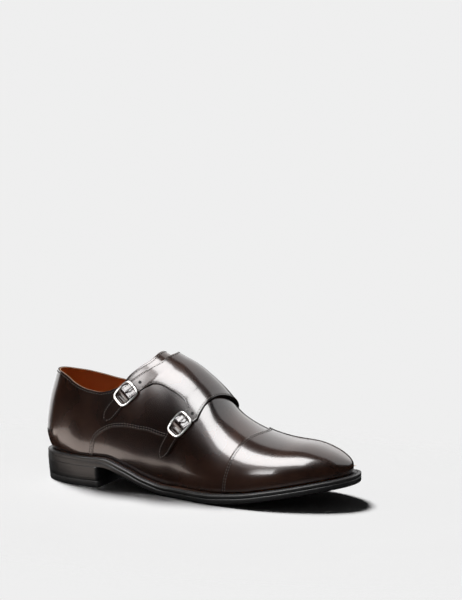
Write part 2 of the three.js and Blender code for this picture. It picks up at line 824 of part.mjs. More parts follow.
// The prong lies on the strap's hump and on the end bar nearer to the flap.
function buckleProng(strap) {
  const root = strapLift(0) + STRAP_THICK + GAP + PRONG_WIRE / 2;
  const rest = frameLift(frameLength / 2) + BUCKLE_WIRE / 2 + GAP + PRONG_WIRE / 2;
  const overhang = 1.5;
  return pin(
    chartPoint(strap, 0, 0, root),
    chartPoint(strap, -(frameLength / 2 + overhang), 0, rest),
    PRONG_WIRE / 2,
    PRONG_WIRE / 2.6,
  );
}

// Materials

function material(color, roughness, metalness) {
  return new THREE.MeshStandardMaterial({ color, roughness, metalness });
}
const polishedLeather = material(0x2a1813, 0.22, 0);
const liningLeather = material(0x8a4514, 0.6, 0);
const blackEdge = material(0x1b1a1b, 0.4, 0);
const weltLeather = material(0x242122, 0.5, 0);
const topLiftRubber = material(0x151516, 0.7, 0);
const polishedMetal = material(0xc9c8c6, 0.15, 1);

// The shoe

const shoe = new THREE.Group();
function add(name, geometry, look) {
  const mesh = new THREE.Mesh(geometry, look);
  mesh.name = name;
  shoe.add(mesh);
}
add('heel_top_lift', topLift(), topLiftRubber);
add('heel_stack', heelStack(), blackEdge);
add('outsole', outsole(), blackEdge);
add('welt', welt(), weltLeather);
add('insole', insole(), liningLeather);
add('upper', upper(), polishedLeather);
add('toe_cap', toeCap(), polishedLeather);
add('tongue', tongue(), polishedLeather);
add('strap_wing', strapWing(), polishedLeather);
STRAPS.forEach((strap) => {
  add(`buckle_frame_${strap.name}`, buckleFrame(strap), polishedMetal);
  add(`buckle_prong_${strap.name}`, buckleProng(strap), polishedMetal);
});

// The origin is under the middle of the shoe's box, on the floor.
const box = new THREE.Box3().setFromObject(shoe);
shoe.position.set(-(box.min.x + box.max.x) / 2, -(box.min.y + box.max.y) / 2, -box.min.z);

export default shoe;
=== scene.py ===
# %% [markdown]
# # A double monk strap shoe, dressed in polished leather
# The shoe stands empty on its own sole. The CAD frame gives every piece its place and size, and this
# file gives the same forms their thin edges, seams, stitches and finishes. A shoe is made over a
# last, a solid form of the foot, so nearly every piece here is a sheet that follows the last.

# %% Load the frame and keep its box
import math
import bmesh
import bpy
import numpy as np
from mathutils import Matrix, Vector


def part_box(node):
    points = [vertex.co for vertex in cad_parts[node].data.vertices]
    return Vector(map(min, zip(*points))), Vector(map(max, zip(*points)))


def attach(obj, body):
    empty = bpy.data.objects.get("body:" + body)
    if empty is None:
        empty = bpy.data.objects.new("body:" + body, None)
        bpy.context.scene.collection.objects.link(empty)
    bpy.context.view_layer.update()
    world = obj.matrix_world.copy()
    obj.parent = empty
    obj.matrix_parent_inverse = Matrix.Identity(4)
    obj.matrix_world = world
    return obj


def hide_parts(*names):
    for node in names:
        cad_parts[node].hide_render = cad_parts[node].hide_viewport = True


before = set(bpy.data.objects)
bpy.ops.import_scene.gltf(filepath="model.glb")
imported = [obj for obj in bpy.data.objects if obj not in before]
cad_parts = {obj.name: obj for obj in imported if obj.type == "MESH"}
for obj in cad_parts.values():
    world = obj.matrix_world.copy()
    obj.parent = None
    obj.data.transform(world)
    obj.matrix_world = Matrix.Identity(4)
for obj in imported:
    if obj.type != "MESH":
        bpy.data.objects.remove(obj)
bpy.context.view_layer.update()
MM = 0.001
print("CAD nodes:", len(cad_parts))

# %% [markdown]
# ## The last
# The last could be sculpted, but then its seams would have to be found again by eye. Here it is a
# short table of sections from heel to toe, joined by a curve that never swings past its rows. Any
# place on it is named by two shares: `at`, along the length, and `girth`, which runs from -1 at
# the outer sole edge over the ridge, 0, to 1 at the inner sole edge. Seams are then plain curves.


# %% A curve through the rows of a table
def curve(xs, ys):
    xs, ys = np.array(xs, float), np.array(ys, float)
    span = np.diff(xs)
    rise = np.diff(ys) / span
    slope = np.zeros(len(xs))
    slope[0], slope[-1] = rise[0], rise[-1]
    for i in range(1, len(xs) - 1):
        if rise[i - 1] * rise[i] > 0:
            before = 2 * span[i] + span[i - 1]
            after = span[i] + 2 * span[i - 1]
            slope[i] = (before + after) / (before / rise[i - 1] + after / rise[i])

    def value(x):
        held = np.clip(np.asarray(x, float), xs[0], xs[-1])
        i = np.clip(np.searchsorted(xs, held, side="right") - 1, 0, len(span) - 1)
        t = (held - xs[i]) / span[i]
        back = 1 - t
        return ((1 + 2 * t) * back * back * ys[i] + t * back * back * span[i] * slope[i]
                + t * t * (3 - 2 * t) * ys[i + 1] - t * t * back * span[i] * slope[i + 1])
    return value


def smooth_step(t):
    held = np.clip(t, 0, 1)
    return held * held * (3 - 2 * held)


print("a curve through heights 0, 1, 1 never passes 1:", curve([0, 1, 2], [0, 1, 1])(1.5))

# %% Sizes of the last and of the bottom, in millimetres
LAST_LENGTH = 291
BALL_WIDTH = 90
INSTEP_HEIGHT = 114
BACK_HEIGHT = 72
HEEL_CURVE = 3.4
TOE_SWING = 4
FEATHER_TUCK = 2.4
FEATHER_ROLL = 4.5
HEEL_LIFT = 19.3
TOE_SPRING = 19.5
HEEL_EDGE = 2.5
WELT_EDGE = 6
SOLE_THICK = 4.8
WELT_THICK = 3
GAP = 0.3
OUTSOLE_LENGTH = HEEL_EDGE + LAST_LENGTH + WELT_EDGE
print("outsole length in mm:", OUTSOLE_LENGTH)

# %% Sections of the last
COLUMNS = ("at", "outer", "inner", "top", "ridge", "foot", "crown", "swell")
SECTIONS = dict(zip(COLUMNS, np.array([
    [0.00, 0.000, 0.000, 1.020, 0.000, 2.6, 2.0, 0.006],
    [0.03, 0.183, 0.178, 1.020, 0.000, 2.6, 2.0, 0.017],
    [0.08, 0.283, 0.278, 1.020, 0.000, 2.6, 2.0, 0.028],
    [0.16, 0.344, 0.339, 1.020, 0.006, 2.6, 2.0, 0.033],
    [0.26, 0.350, 0.322, 1.020, 0.017, 2.4, 2.0, 0.033],
    [0.36, 0.344, 0.283, 1.000, 0.033, 2.2, 2.0, 0.044],
    [0.46, 0.372, 0.283, 0.925, 0.056, 2.0, 2.0, 0.056],
    [0.56, 0.450, 0.350, 0.750, 0.067, 1.9, 1.9, 0.044],
    [0.64, 0.500, 0.417, 0.535, 0.061, 2.0, 2.0, 0.033],
    [0.72, 0.511, 0.461, 0.412, 0.050, 2.1, 2.1, 0.028],
    [0.80, 0.478, 0.456, 0.329, 0.044, 2.2, 2.2, 0.022],
    [0.88, 0.394, 0.406, 0.272, 0.044, 2.3, 2.3, 0.017],
    [0.94, 0.289, 0.317, 0.197, 0.044, 2.3, 2.3, 0.011],
    [0.98, 0.172, 0.194, 0.127, 0.044, 2.3, 2.3, 0.006],
    [1.00, 0.000, 0.000, 0.061, 0.044, 2.3, 2.3, 0.000],
]).T))


def turn(at):
    return np.arccos(np.clip(1 - 2 * np.asarray(at, float), -1, 1)) / math.pi


def section(name):
    through = curve(turn(SECTIONS["at"]), SECTIONS[name])
    return lambda at: through(turn(at))


outer_half, inner_half = section("outer"), section("inner")
top, ridge, swell = section("top"), section("ridge"), section("swell")
foot, crown = section("foot"), section("crown")
BALL_AT = 0.7
ball = BALL_WIDTH * (outer_half(BALL_AT) + inner_half(BALL_AT))
print("last across the ball in mm:", round(float(ball), 1))

# %% Curves of the heel's back and of the bottom, by shares of their length
back_shift = curve([0, 0.25, 0.556, 1, 1.61], [0, -1, -0.18, 2.5, 7.06])
tread_heel = curve([0, 0.235, 0.305, 0.375, 0.45, 0.58, 1], [1, 0.985, 0.66, 0.22, 0, 0, 0])
tread_toe = curve([0, 0.58, 0.68, 0.8, 0.92, 1], [0, 0, 0.12, 0.425, 0.78, 1])
extension_share = curve(
    [0, 0.1, 0.24, 0.4, 0.55, 0.8, 1],
    [HEEL_EDGE / WELT_EDGE, HEEL_EDGE / WELT_EDGE, 0.5, 0.67, 0.92, 1, 1],
)
print("welt stands out by this share at the waist:", round(float(extension_share(0.4)), 2))


# %% Heights of the bottom
def underside(x):
    share = np.asarray(x, float) / OUTSOLE_LENGTH
    return HEEL_LIFT * tread_heel(share) + TOE_SPRING * tread_toe(share)


def sole_top(x):
    return underside(x) + SOLE_THICK


def welt_top(x):
    return sole_top(x) + GAP + WELT_THICK


def seat(x):
    return welt_top(x) + GAP


print("sole above the floor at heel, waist, ball and toe:",
      underside([0, 90, 150, OUTSOLE_LENGTH]).round(1))


# %% The line where the upper meets the sole, and the way out from it
NEAR = 1e-6
PLAN_STEP = 1e-4


def swing(at):
    return TOE_SWING * smooth_step((at - 0.5) / 0.5)


def half_width(at, side):
    return BALL_WIDTH * np.where(side < 0, outer_half(at), inner_half(at))


def extension(at):
    return WELT_EDGE * extension_share(at)


def outward(at, side):
    """The direction in plan, square to the sole edge."""
    low = np.maximum(at - PLAN_STEP, PLAN_STEP)
    high = np.minimum(at + PLAN_STEP, 1 - PLAN_STEP)
    run = (high - low) * LAST_LENGTH
    across = side * (half_width(high, side) - half_width(low, side)) + swing(high) - swing(low)
    nx, ny = -across * side, run * side
    size = np.hypot(nx, ny)
    ends = np.where(at < NEAR, -1.0, 1.0)
    at_end = (at < NEAR) | (at > 1 - NEAR)
    return np.where(at_end, ends, nx / size), np.where(at_end, 0.0, ny / size)


# %% Places on the last
BULGE_HALF = 20
HEEL_SHARE, HEEL_FADE = 0.3, 1.5
AT_MARGIN, RISE_MARGIN = 1e-3, 2e-3
AT_STEP, RISE_STEP = 4e-4, 1e-3


def last_point(at, side, rise):
    """A point of the last: at along it, rise from the sole edge, 0, up to the ridge, 1."""
    angle = rise * math.pi / 2
    cos, sin = np.maximum(np.cos(angle), 0), np.sin(angle)
    half = half_width(at, side)
    bulge = BALL_WIDTH * swell(at) * np.sin(2 * angle) * np.minimum(half / BULGE_HALF, 1)
    across = half * cos ** (2 / foot(at)) + bulge
    up = INSTEP_HEIGHT * top(at) * sin ** (2 / crown(at))
    fade = np.maximum(1 - at / HEEL_SHARE, 0) ** HEEL_FADE
    out_x, out_y = outward(at, side)
    tuck = FEATHER_TUCK * np.exp(-up / FEATHER_ROLL)
    x = HEEL_EDGE + at * LAST_LENGTH
    return np.stack([
        x + fade * HEEL_CURVE * back_shift(up / BACK_HEIGHT) - out_x * tuck,
        side * across + swing(at) * (1 - sin) + BALL_WIDTH * ridge(at) * sin - out_y * tuck,
        seat(x) + up,
    ], axis=-1)


def unit(v):
    return v / np.maximum(np.linalg.norm(v, axis=-1, keepdims=True), 1e-12)


def side_normal(at, side, rise):
    a = np.clip(at, AT_MARGIN, 1 - AT_MARGIN)
    r = np.clip(rise, RISE_MARGIN, 1 - RISE_MARGIN)
    along = last_point(a + AT_STEP, side, r) - last_point(a - AT_STEP, side, r)
    around = last_point(a, side, r + RISE_STEP) - last_point(a, side, r - RISE_STEP)
    return unit(np.cross(along, around) * -side[..., None])


def surface(at, girth, lift=0.0):
    """Points in millimetres on the last, lifted along its normal, and the normals."""
    at, girth, lift = np.broadcast_arrays(*(np.asarray(v, float) for v in (at, girth, lift)))
    side = np.where(girth < 0, -1.0, 1.0)
    rise = 1 - np.abs(girth)
    normal = side_normal(at, side, rise)
    shared = (at < NEAR) | (at > 1 - NEAR) | (rise > 1 - NEAR)
    normal = np.where(shared[..., None], unit(normal + side_normal(at, -side, rise)), normal)
    return last_point(at, side, rise) + normal * lift[..., None], normal


print("a place on the instep in mm:", surface(0.45, 0.0)[0].round(1))

# %% [markdown]
# ## From the last to the frame
# The CAD frame puts its origin under the middle of the whole shoe. The sole's outline is known in
# both, so the outsole's box tells how far the two are apart.


# %% Shift to the frame
def beside(at, side, out):
    """A point beside the sole edge of the last, moved out in plan."""
    nx, ny = outward(at, side)
    x = HEEL_EDGE + at * LAST_LENGTH + nx * out
    y = side * half_width(at, side) + swing(at) + ny * out
    return x, y


sole_low = np.array(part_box("outsole")[0])
shares = np.linspace(0, 1, 2001)
_, outline_y = beside(shares, -np.ones_like(shares), extension(shares))
SHIFT = np.array([sole_low[0] / MM, sole_low[1] / MM - outline_y.min(), 0])
print("shift to the frame in mm:", SHIFT.round(2))


def to_frame(points):
    """From millimetres on the shoe to metres in the frame."""
    return (np.asarray(points) + SHIFT) * MM


# %% [markdown]
# ## Sheets of leather
# Leather pieces are flat grids bent over the last. Blender's grid operator makes the faces, and a
# function puts each grid point where it belongs. Two grids that share an edge are welded there. A
# wall thickness and a small bevel then give the cut edge that catches the light on a real shoe.


# %% Grids, and welds between them
WELD = 0.004


def lay(bm, rows, columns, place):
    """A grid whose point (s, t), both from 0 to 1, goes to place(s, t) in shoe millimetres."""
    verts = bmesh.ops.create_grid(bm, x_segments=columns, y_segments=rows, size=0.5)["verts"]
    flat = np.array([v.co[:2] for v in verts]) + 0.5
    for vert, point in zip(verts, to_frame(place(flat[:, 1], flat[:, 0]))):
        vert.co = point


def weld(bm, distance=WELD):
    bmesh.ops.remove_doubles(bm, verts=bm.verts[:], dist=distance * MM)
    bmesh.ops.dissolve_degenerate(bm, edges=bm.edges[:], dist=distance * MM / 4)
    bmesh.ops.recalc_face_normals(bm, faces=bm.faces[:])


trial = bmesh.new()
lay(trial, 4, 6, lambda s, t: surface(0.70 + 0.05 * s, 0.3 * t)[0])
print("a trial patch of leather has", len(trial.faces), "faces")
trial.free()

# %% [markdown]
# A sheet is thickened by Blender's solidify. First its faces are turned away from the middle of the
# shoe, so that the leather grows inwards. The narrow faces between skin and flesh side, and the
# bevel that rounds them, get a second material, because a cut edge is dyed apart; on the outer
# leather that edge finish also carries painted shade, dark like the shaded gap below an edge.


# %% Thickness and cut edges
SPINE_SHARES, SPINE_HEIGHT = (0.05, 0.93), 0.03
SHARP = 1.0
RIM_SLOT = 1


def face_out(bm):
    """Turns the faces of an open sheet away from the middle line of the shoe."""
    bm.normal_update()
    total = 0.0
    for face in bm.faces:
        middle = face.calc_center_median()
        x_share = np.clip((middle.x / MM - SHIFT[0]) / LAST_LENGTH, *SPINE_SHARES)
        spine = Vector((SHIFT[0] * MM + x_share * LAST_LENGTH * MM, 0.0, SPINE_HEIGHT))
        total += face.normal.dot((middle - spine).normalized()) * face.calc_area()
    if total < 0:
        bmesh.ops.reverse_faces(bm, faces=bm.faces[:])


def wall(bm, thick, edge, segments=2):
    """Gives an open sheet its thickness and rounds the cut edges."""
    face_out(bm)
    skin = set(bm.faces)
    bmesh.ops.solidify(bm, geom=bm.faces[:], thickness=thick * MM)
    for face in bm.faces:
        beside_skin = any(other in skin for e in face.edges for other in e.link_faces)
        if face not in skin and beside_skin:
            face.material_index = RIM_SLOT
    bmesh.ops.recalc_face_normals(bm, faces=bm.faces[:])
    bm.normal_update()
    sharp = [e for e in bm.edges if len(e.link_faces) == 2 and e.calc_face_angle() > SHARP]
    made = bmesh.ops.bevel(bm, geom=sharp, offset=edge * MM, segments=segments, profile=0.5,
                           affect="EDGES", clamp_overlap=True, material=-1)
    for face in made["faces"]:
        face.material_index = RIM_SLOT


# %% Finished pieces
def keep(bm, name, material, *nodes, rim=None):
    """Makes the finished object of a piece, for the CAD nodes that it stands for. rim is the
    finish of the cut edges of a sheet."""
    mesh = bpy.data.meshes.new(name)
    for face in bm.faces:
        face.smooth = True
    bm.to_mesh(mesh)
    bm.free()
    piece = bpy.data.objects.new(name, mesh)
    bpy.context.scene.collection.objects.link(piece)
    mesh.materials.append(material)
    if rim:
        mesh.materials.append(rim)
    if nodes:
        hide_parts(*nodes)
    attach(piece, "root")
    size = [round(d / MM, 1) for d in piece.dimensions]
    print(f"{name}: {len(mesh.polygons)} faces, {size} mm")
    return piece


# %% [markdown]
# ## Finishes
# Every finish is procedural: noise in object coordinates varies the colour, the gloss and the fine
# relief, so no picture is needed and the finish sits still on the shoe. The node sums are written
# with a small class, so that a formula reads as a formula.


# %% Node sums
class Socket:
    """An output of a node in the tree being built. Sums of sockets add Math nodes."""
    tree = None

    def __init__(self, out):
        self.out = out

    @classmethod
    def node(cls, kind, settings=None, inputs=None, output=0):
        made = cls.tree.nodes.new(kind)
        for name, value in (settings or {}).items():
            setattr(made, name, value)
        for name, value in (inputs or {}).items():
            cls.feed(made.inputs[name], value)
        return cls(made.outputs[output])

    @classmethod
    def feed(cls, socket, value):
        if isinstance(value, Socket):
            cls.tree.links.new(value.out, socket)
        else:
            socket.default_value = value

    def math(self, operation, *others):
        values = {0: self, **{i + 1: other for i, other in enumerate(others)}}
        return Socket.node("ShaderNodeMath", {"operation": operation}, values)

    def __add__(self, other):
        return self.math("ADD", other)

    def __mul__(self, other):
        return self.math("MULTIPLY", other)

    def __sub__(self, other):
        return self.math("SUBTRACT", other)

    def __rsub__(self, other):
        return (self * -1) + other

    __radd__, __rmul__ = __add__, __mul__

    def between(self, low, high):
        """0 below low, 1 above high, smooth between."""
        return Socket.node("ShaderNodeMapRange", {"interpolation_type": "SMOOTHSTEP"},
                           {"Value": self, "From Min": low, "From Max": high})


# %% Patterns, colours and relief
FACTOR_IN, FIRST_IN, SECOND_IN, COLOUR_OUT = 0, 6, 7, 2


def place_in_object(stretch=(1, 1, 1)):
    spot = Socket.node("ShaderNodeTexCoord", output="Object")
    return Socket.node("ShaderNodeVectorMath", {"operation": "MULTIPLY"}, {0: spot, 1: stretch})


def noise(scale, detail=3.0, stretch=(1, 1, 1)):
    return Socket.node("ShaderNodeTexNoise", None,
                       {"Vector": place_in_object(stretch), "Scale": scale, "Detail": detail})


def opaque(colour):
    return colour if isinstance(colour, Socket) else (*colour, 1)


def mix_colour(share, first, second):
    return Socket.node("ShaderNodeMix", {"data_type": "RGBA"},
                       {FACTOR_IN: share, FIRST_IN: opaque(first), SECOND_IN: opaque(second)},
                       COLOUR_OUT)


def relief(height, depth_mm, strength):
    return Socket.node("ShaderNodeBump", None,
                       {"Height": height, "Distance": depth_mm * MM, "Strength": strength})


# %% From a formula to a material
def finish(name, slot, build, **constants):
    """A material: build() gives the varying inputs, constants are set on the shader itself."""
    material = bpy.data.materials.new(name)
    material.use_nodes = True
    Socket.tree = material.node_tree
    shader = material.node_tree.nodes["Principled BSDF"]
    for label, value in constants.items():
        shader.inputs[label.replace("_", " ")].default_value = value
    for label, value in build().items():
        Socket.feed(shader.inputs[label], value)
    material["slot"] = slot
    print(f"{name}: {len(material.node_tree.nodes)} nodes")
    return material


# %% [markdown]
# ### Polished leather
# The upper is calf leather, dyed dark brown and waxed until it mirrors the lamps. One glossy shader
# could do, but wax is a clear film over the leather with a shine of its own, so the leather has a
# moderate gloss and the shader's coat lies over it. Wide soft noise clouds the dye, fine noise is
# the grain, and a slow pull bends the reflections a little, as stretched leather does.

# %% Polished leather
DARK_BROWN, WARM_BROWN = (0.027, 0.0098, 0.0058), (0.078, 0.0300, 0.0160)


def polished():
    cloud = noise(18, 4)
    grain = noise(900, 2)
    fine = noise(4200, 2)
    pull = noise(55, 2)
    return {
        "Base Color": mix_colour(cloud.between(0.35, 0.75), DARK_BROWN, WARM_BROWN),
        "Roughness": 0.17 + cloud * 0.10 + grain * 0.03,
        "Normal": relief(grain * 0.03 + fine * 0.01 + pull * 2.2, depth_mm=0.035, strength=0.3),
    }


leather = finish("polished_leather", "polished_leather", polished,
                 IOR=1.5, Coat_Weight=0.7, Coat_Roughness=0.11, Coat_IOR=1.5,
                 Specular_Tint=(0.97, 0.955, 0.96, 1.0))

# %% [markdown]
# ### Lining leather and cut edges
# The lining is undyed tan leather, almost without shine. Where the outer leather was cut, its edge
# is burnished nearly black, and that black is partly painted shade for the shaded gap below the
# edge. The lining's edge stays raw and pale. All three are the same idea with other colours: fibres
# vary the tone, and a high roughness keeps the light soft.

# %% Lining and cut edges
TAN, LIGHT_TAN = (0.70, 0.285, 0.078), (0.84, 0.370, 0.125)
# The outer edge colours are edge ink darkened further as painted shade, for the shaded gap below each
# edge
INKED_EDGE_SHADE, INKED_EDGE_SHADE_PALE = (0.006, 0.0026, 0.002), (0.016, 0.007, 0.005)
RAW_TAN, RAW_TAN_LIGHT = (0.42, 0.20, 0.09), (0.56, 0.30, 0.15)


def tan_lining():
    cloud = noise(30, 3)
    pores = noise(1500, 2)
    return {
        "Base Color": mix_colour(cloud, TAN, LIGHT_TAN),
        "Roughness": 0.42 + pores * 0.2,
        "Normal": relief(pores + cloud * 0.6, depth_mm=0.06, strength=0.5),
    }


def cut_fibres(dark, light):
    def build():
        fibre = noise(900, 3)
        return {
            "Base Color": mix_colour(fibre, dark, light),
            "Roughness": 0.6 + fibre * 0.2,
        }
    return build


lining_look = finish("lining_leather", "lining_leather", tan_lining, IOR=1.45,
                     Specular_IOR_Level=0.05)
# painted shade: the outer leather's cut edges and their bevels are dark, like the shaded gap beneath
# them
cut_edge_shade_look = finish("burnished_edge_painted_shade", "polished_leather",
                     cut_fibres(INKED_EDGE_SHADE, INKED_EDGE_SHADE_PALE), IOR=1.35)
cut_lining = finish("raw_tan_edge", "lining_leather",
                    cut_fibres(RAW_TAN, RAW_TAN_LIGHT), IOR=1.4)

# %% [markdown]
# ### Black edge, welt and rubber
# Sole edge and heel are leather layers that a maker files flush, inks black and waxes. Faint level
# streaks stay from the file, so the noise is stretched in height. The welt was run over with a
# toothed wheel, which leaves a finer, rougher face, and the top lift is dull rubber with specks.

# %% Black edge, welt and rubber
EDGE_BLACK, EDGE_GREY = (0.009, 0.009, 0.0095), (0.019, 0.0185, 0.019)
WELT_BLACK, WELT_GREY = (0.013, 0.012, 0.012), (0.03, 0.028, 0.028)
RUBBER_BLACK, RUBBER_GREY = (0.010, 0.010, 0.011), (0.020, 0.020, 0.021)
FILE_STREAKS = (1, 1, 7)


def inked_edge():
    streak = noise(260, 3, FILE_STREAKS)
    return {
        "Base Color": mix_colour(noise(40, 3), EDGE_BLACK, EDGE_GREY),
        "Roughness": 0.36 + streak * 0.1,
        "Normal": relief(streak, depth_mm=0.03, strength=0.2),
    }


def wheeled_welt():
    wheel = noise(700, 2)
    return {
        "Base Color": mix_colour(noise(60), WELT_BLACK, WELT_GREY),
        "Roughness": 0.36 + wheel * 0.15,
        "Normal": relief(wheel, depth_mm=0.08, strength=0.5),
    }


def rubber():
    speck = noise(1200, 3)
    return {
        "Base Color": mix_colour(speck, RUBBER_BLACK, RUBBER_GREY),
        "Roughness": 0.48 + speck * 0.2,
        "Normal": relief(speck, depth_mm=0.06, strength=0.5),
    }


edge_look = finish("black_edge", "black_edge", inked_edge, IOR=1.42, Specular_IOR_Level=0.62)
welt_look = finish("welt_leather", "welt_leather", wheeled_welt, IOR=1.5)
rubber_look = finish("top_lift_rubber", "top_lift_rubber", rubber, IOR=1.5)

# %% [markdown]
# ### Steel
# The buckle frames are polished steel, slightly blurred by handling. The prongs are the same steel,
# but their colour is a duller, darker steel as painted shade, since a thin round wire mirrors mostly
# the dark round it. Metal has no dye below its shine, so the shader is simply set to metallic, and
# noise rubs its roughness.

# %% Steel of frames and prongs
STEEL, BRIGHT_STEEL = (0.74, 0.73, 0.71), (0.84, 0.83, 0.81)
# painted shade: the prong steel is darker than the frame steel, for the dark that a thin round wire
# mirrors
PRONG_STEEL_SHADED, PRONG_LIGHT_SHADED = (0.17, 0.165, 0.16), (0.25, 0.24, 0.235)


def steel():
    rub = noise(140, 3)
    return {
        "Base Color": mix_colour(rub, STEEL, BRIGHT_STEEL),
        "Roughness": 0.27 + rub * 0.1,
        "Normal": relief(noise(900), depth_mm=0.02, strength=0.25),
    }


def shaded_steel():
    rub = noise(140, 3)
    return {
        "Base Color": mix_colour(rub, PRONG_STEEL_SHADED, PRONG_LIGHT_SHADED),
        "Roughness": 0.2 + rub * 0.1,
    }


steel_look = finish("polished_metal", "polished_metal", steel, Metallic=1.0)
shaded_prong_look = finish("prong_metal_painted_shade", "polished_metal", shaded_steel, Metallic=1.0)

# %% [markdown]
# ### Thread and holes
# Waxed thread is a little lighter than the leather, so each stitch shows as a small pale bead. A
# twist could be modelled, but at this size noise in colour and relief reads as one. Needle pits and
# strap holes are painted shade: dark shapes that stand for the shade inside a hole, where hardly any
# light comes back out.

# %% Thread and holes
THREAD, LIGHT_THREAD = (0.155, 0.125, 0.105), (0.285, 0.24, 0.205)
WELT_THREAD, LIGHT_WELT_THREAD = (0.07, 0.068, 0.067), (0.16, 0.155, 0.15)
# painted shade: these colours stand for the shade inside needle pits and strap holes
HOLE_SHADE, HOLE_SHADE_BROWN = (0.002, 0.001, 0.001), (0.006, 0.003, 0.002)


def waxed_thread():
    twist = noise(2600, 2)
    return {
        "Base Color": mix_colour(twist, THREAD, LIGHT_THREAD),
        "Roughness": 0.42 + twist * 0.2,
        "Normal": relief(twist, depth_mm=0.05, strength=0.6),
    }


def welt_thread():
    twist = noise(2600, 2)
    return {
        "Base Color": mix_colour(twist, WELT_THREAD, LIGHT_WELT_THREAD),
        "Roughness": 0.45 + twist * 0.2,
    }


def hole_shade_finish():
    return {"Base Color": mix_colour(noise(400), HOLE_SHADE, HOLE_SHADE_BROWN)}


thread_look = finish("waxed_thread", "polished_leather", waxed_thread, Specular_IOR_Level=0.3)
welt_thread_look = finish("welt_thread", "welt_leather", welt_thread)
hole_shade_look = finish("painted_hole_shade", "polished_leather", hole_shade_finish, Roughness=0.9)

# %% [markdown]
# ## Seams of the upper
# The top line and the seams are short tables of shares, read off the picture. The quarters lie over
# the vamp, the toe cap lies over the vamp too, and the strapped flap belongs to the inner quarter.

# %% Top line
THROAT_AT = 0.46
# Each row: place along the last, rise of the top line at the outer and at the inner side
TOP_LINE = [
    (0, 0.432, 0.432), (0.04, 0.428, 0.412), (0.08, 0.412, 0.397), (0.125, 0.377, 0.378),
    (0.175, 0.349, 0.36), (0.225, 0.339, 0.352), (0.251, 0.352, 0.358), (0.275, 0.385, 0.378),
    (0.3, 0.425, 0.412), (0.335, 0.478, 0.47), (0.372, 0.56, 0.555), (0.41, 0.71, 0.71),
    (0.44, 0.86, 0.86), (THROAT_AT, 1, 1),
]
collar_at, collar_outer, collar_inner = zip(*TOP_LINE)
COLLAR = {-1: curve(collar_at, collar_outer), 1: curve(collar_at, collar_inner)}
print("lowest point of the top line, as a share of the rise:", min(collar_outer))

# %% Seam of the quarters and seam of the cap
SEAM_START = 0.197
# Each pair: place along the last and rise of the seam. The rear part is the same on both sides
SEAM_REAR = [(SEAM_START, 0), (0.2, 0.03), (0.205, 0.06), (0.216, 0.102), (0.245, 0.141),
             (0.275, 0.176), (0.31, 0.205), (0.349, 0.23), (0.387, 0.252)]
SEAM_FORE = {
    -1: [(0.445, 0.265), (0.465, 0.275), (0.48, 0.31), (0.5, 0.4), (0.52, 0.48), (0.535, 0.6)],
    1: [(0.445, 0.275), (0.5, 0.31), (0.53, 0.335), (0.545, 0.36)],
}
SEAM = {side: curve(*zip(*SEAM_REAR, *fore)) for side, fore in SEAM_FORE.items()}
SEAM_END = {side: fore[-1][0] for side, fore in SEAM_FORE.items()}
CAP_AT, CAP_SWEEP, CAP_BEND, CAP_ROUND = 0.65, 0.075, 1.7, 0.12


def cap_seam(girth):
    down = np.hypot(girth, CAP_ROUND) - CAP_ROUND
    return CAP_AT + CAP_SWEEP * (1 - down) ** CAP_BEND


print("cap seam at the ridge, as a share of the length:", round(float(cap_seam(0.0)), 3))

# %% [markdown]
# The leathers lie on each other like sheets of paper, so each has its own lift from the last. Where
# the foot would bend the shoe, soft troughs are pressed in: a bell curve across each trough
# and another along it. They are a tenth of a millimetre deep and only bend the reflections.

# %% Lifts and thicknesses of the leather layers, in millimetres
VAMP_LIFT, VAMP_THICK = -0.5, 0.7
QUARTER_LIFT, QUARTER_THICK = 0.15, 1.0
CAP_LIFT, CAP_THICK = 0.55, 1.3
LINING_LIFT, LINING_THICK = -1.25, 0.75
STRAP_GAP, STRAP_THICK, FLAP_THICK = 0.55, 2.0, 1.9
TONGUE_LIFT, TONGUE_THICK = -3.4, 1.6
INNER_EDGE, OUTER_EDGE, TONGUE_ROUND = 0.2, 0.3, 0.4

# %% Creases
# Each row: place along, lean, width, place round the last, reach round it, depth in millimetres
TROUGHS = (
    (0.625, 0.10, 0.016, 0.42, 0.30, 0.12),
    (0.660, -0.06, 0.014, 0.40, 0.26, 0.09),
    (0.612, 0.05, 0.018, -0.36, 0.28, 0.14),
    (0.648, -0.10, 0.015, -0.34, 0.26, 0.10),
    (0.120, -0.10, 0.034, -0.76, 0.14, 0.10),
    (0.130, -0.10, 0.034, 0.76, 0.14, 0.10),
)


def creases(at, girth):
    depth = np.zeros_like(at)
    for middle, lean, wide, centre, reach, deep in TROUGHS:
        across = (at - middle - lean * (np.abs(girth) - abs(centre))) / wide
        along = (girth - centre) / reach
        depth = depth + deep * np.exp(-across ** 2) * np.exp(-along ** 2)
    return depth


def on_leather(at, girth, lift):
    """Points and normals of a leather layer, creases included."""
    at, girth = np.asarray(at, float), np.asarray(girth, float)
    return surface(at, girth, lift - creases(at, girth))


print("deepest crease in mm:", max(deep for *_, deep in TROUGHS))

# %% Grids of the shell, closer where the outline turns
CROWD = 1.1


def at_between(start, end, share):
    """Places from start to end, spaced closer at heel and toe."""
    angle = turn(start) + (turn(end) - turn(start)) * share
    return np.clip((1 - np.cos(math.pi * angle)) / 2, 0, 1)


def quarter_place(side, lift, hem):
    """Back part of the shell, from the hem above the sole edge up to the top line."""
    def place(s, t):
        at = at_between(0, THROAT_AT, s)
        rise = hem + (COLLAR[side](at) - hem) * t ** CROWD
        return on_leather(at, side * (1 - rise), lift)[0]
    return place


def vamp_place(lift, hem):
    """Front part of the shell, over the ridge from one side to the other."""
    def place(s, t):
        at = at_between(THROAT_AT, 1, s)
        side = np.where(t < 0.5, -1.0, 1.0)
        rise = hem + (1 - hem) * np.clip(1 - np.abs(2 * t - 1), 0, 1) ** CROWD
        return on_leather(at, side * (1 - rise), lift)[0]
    return place


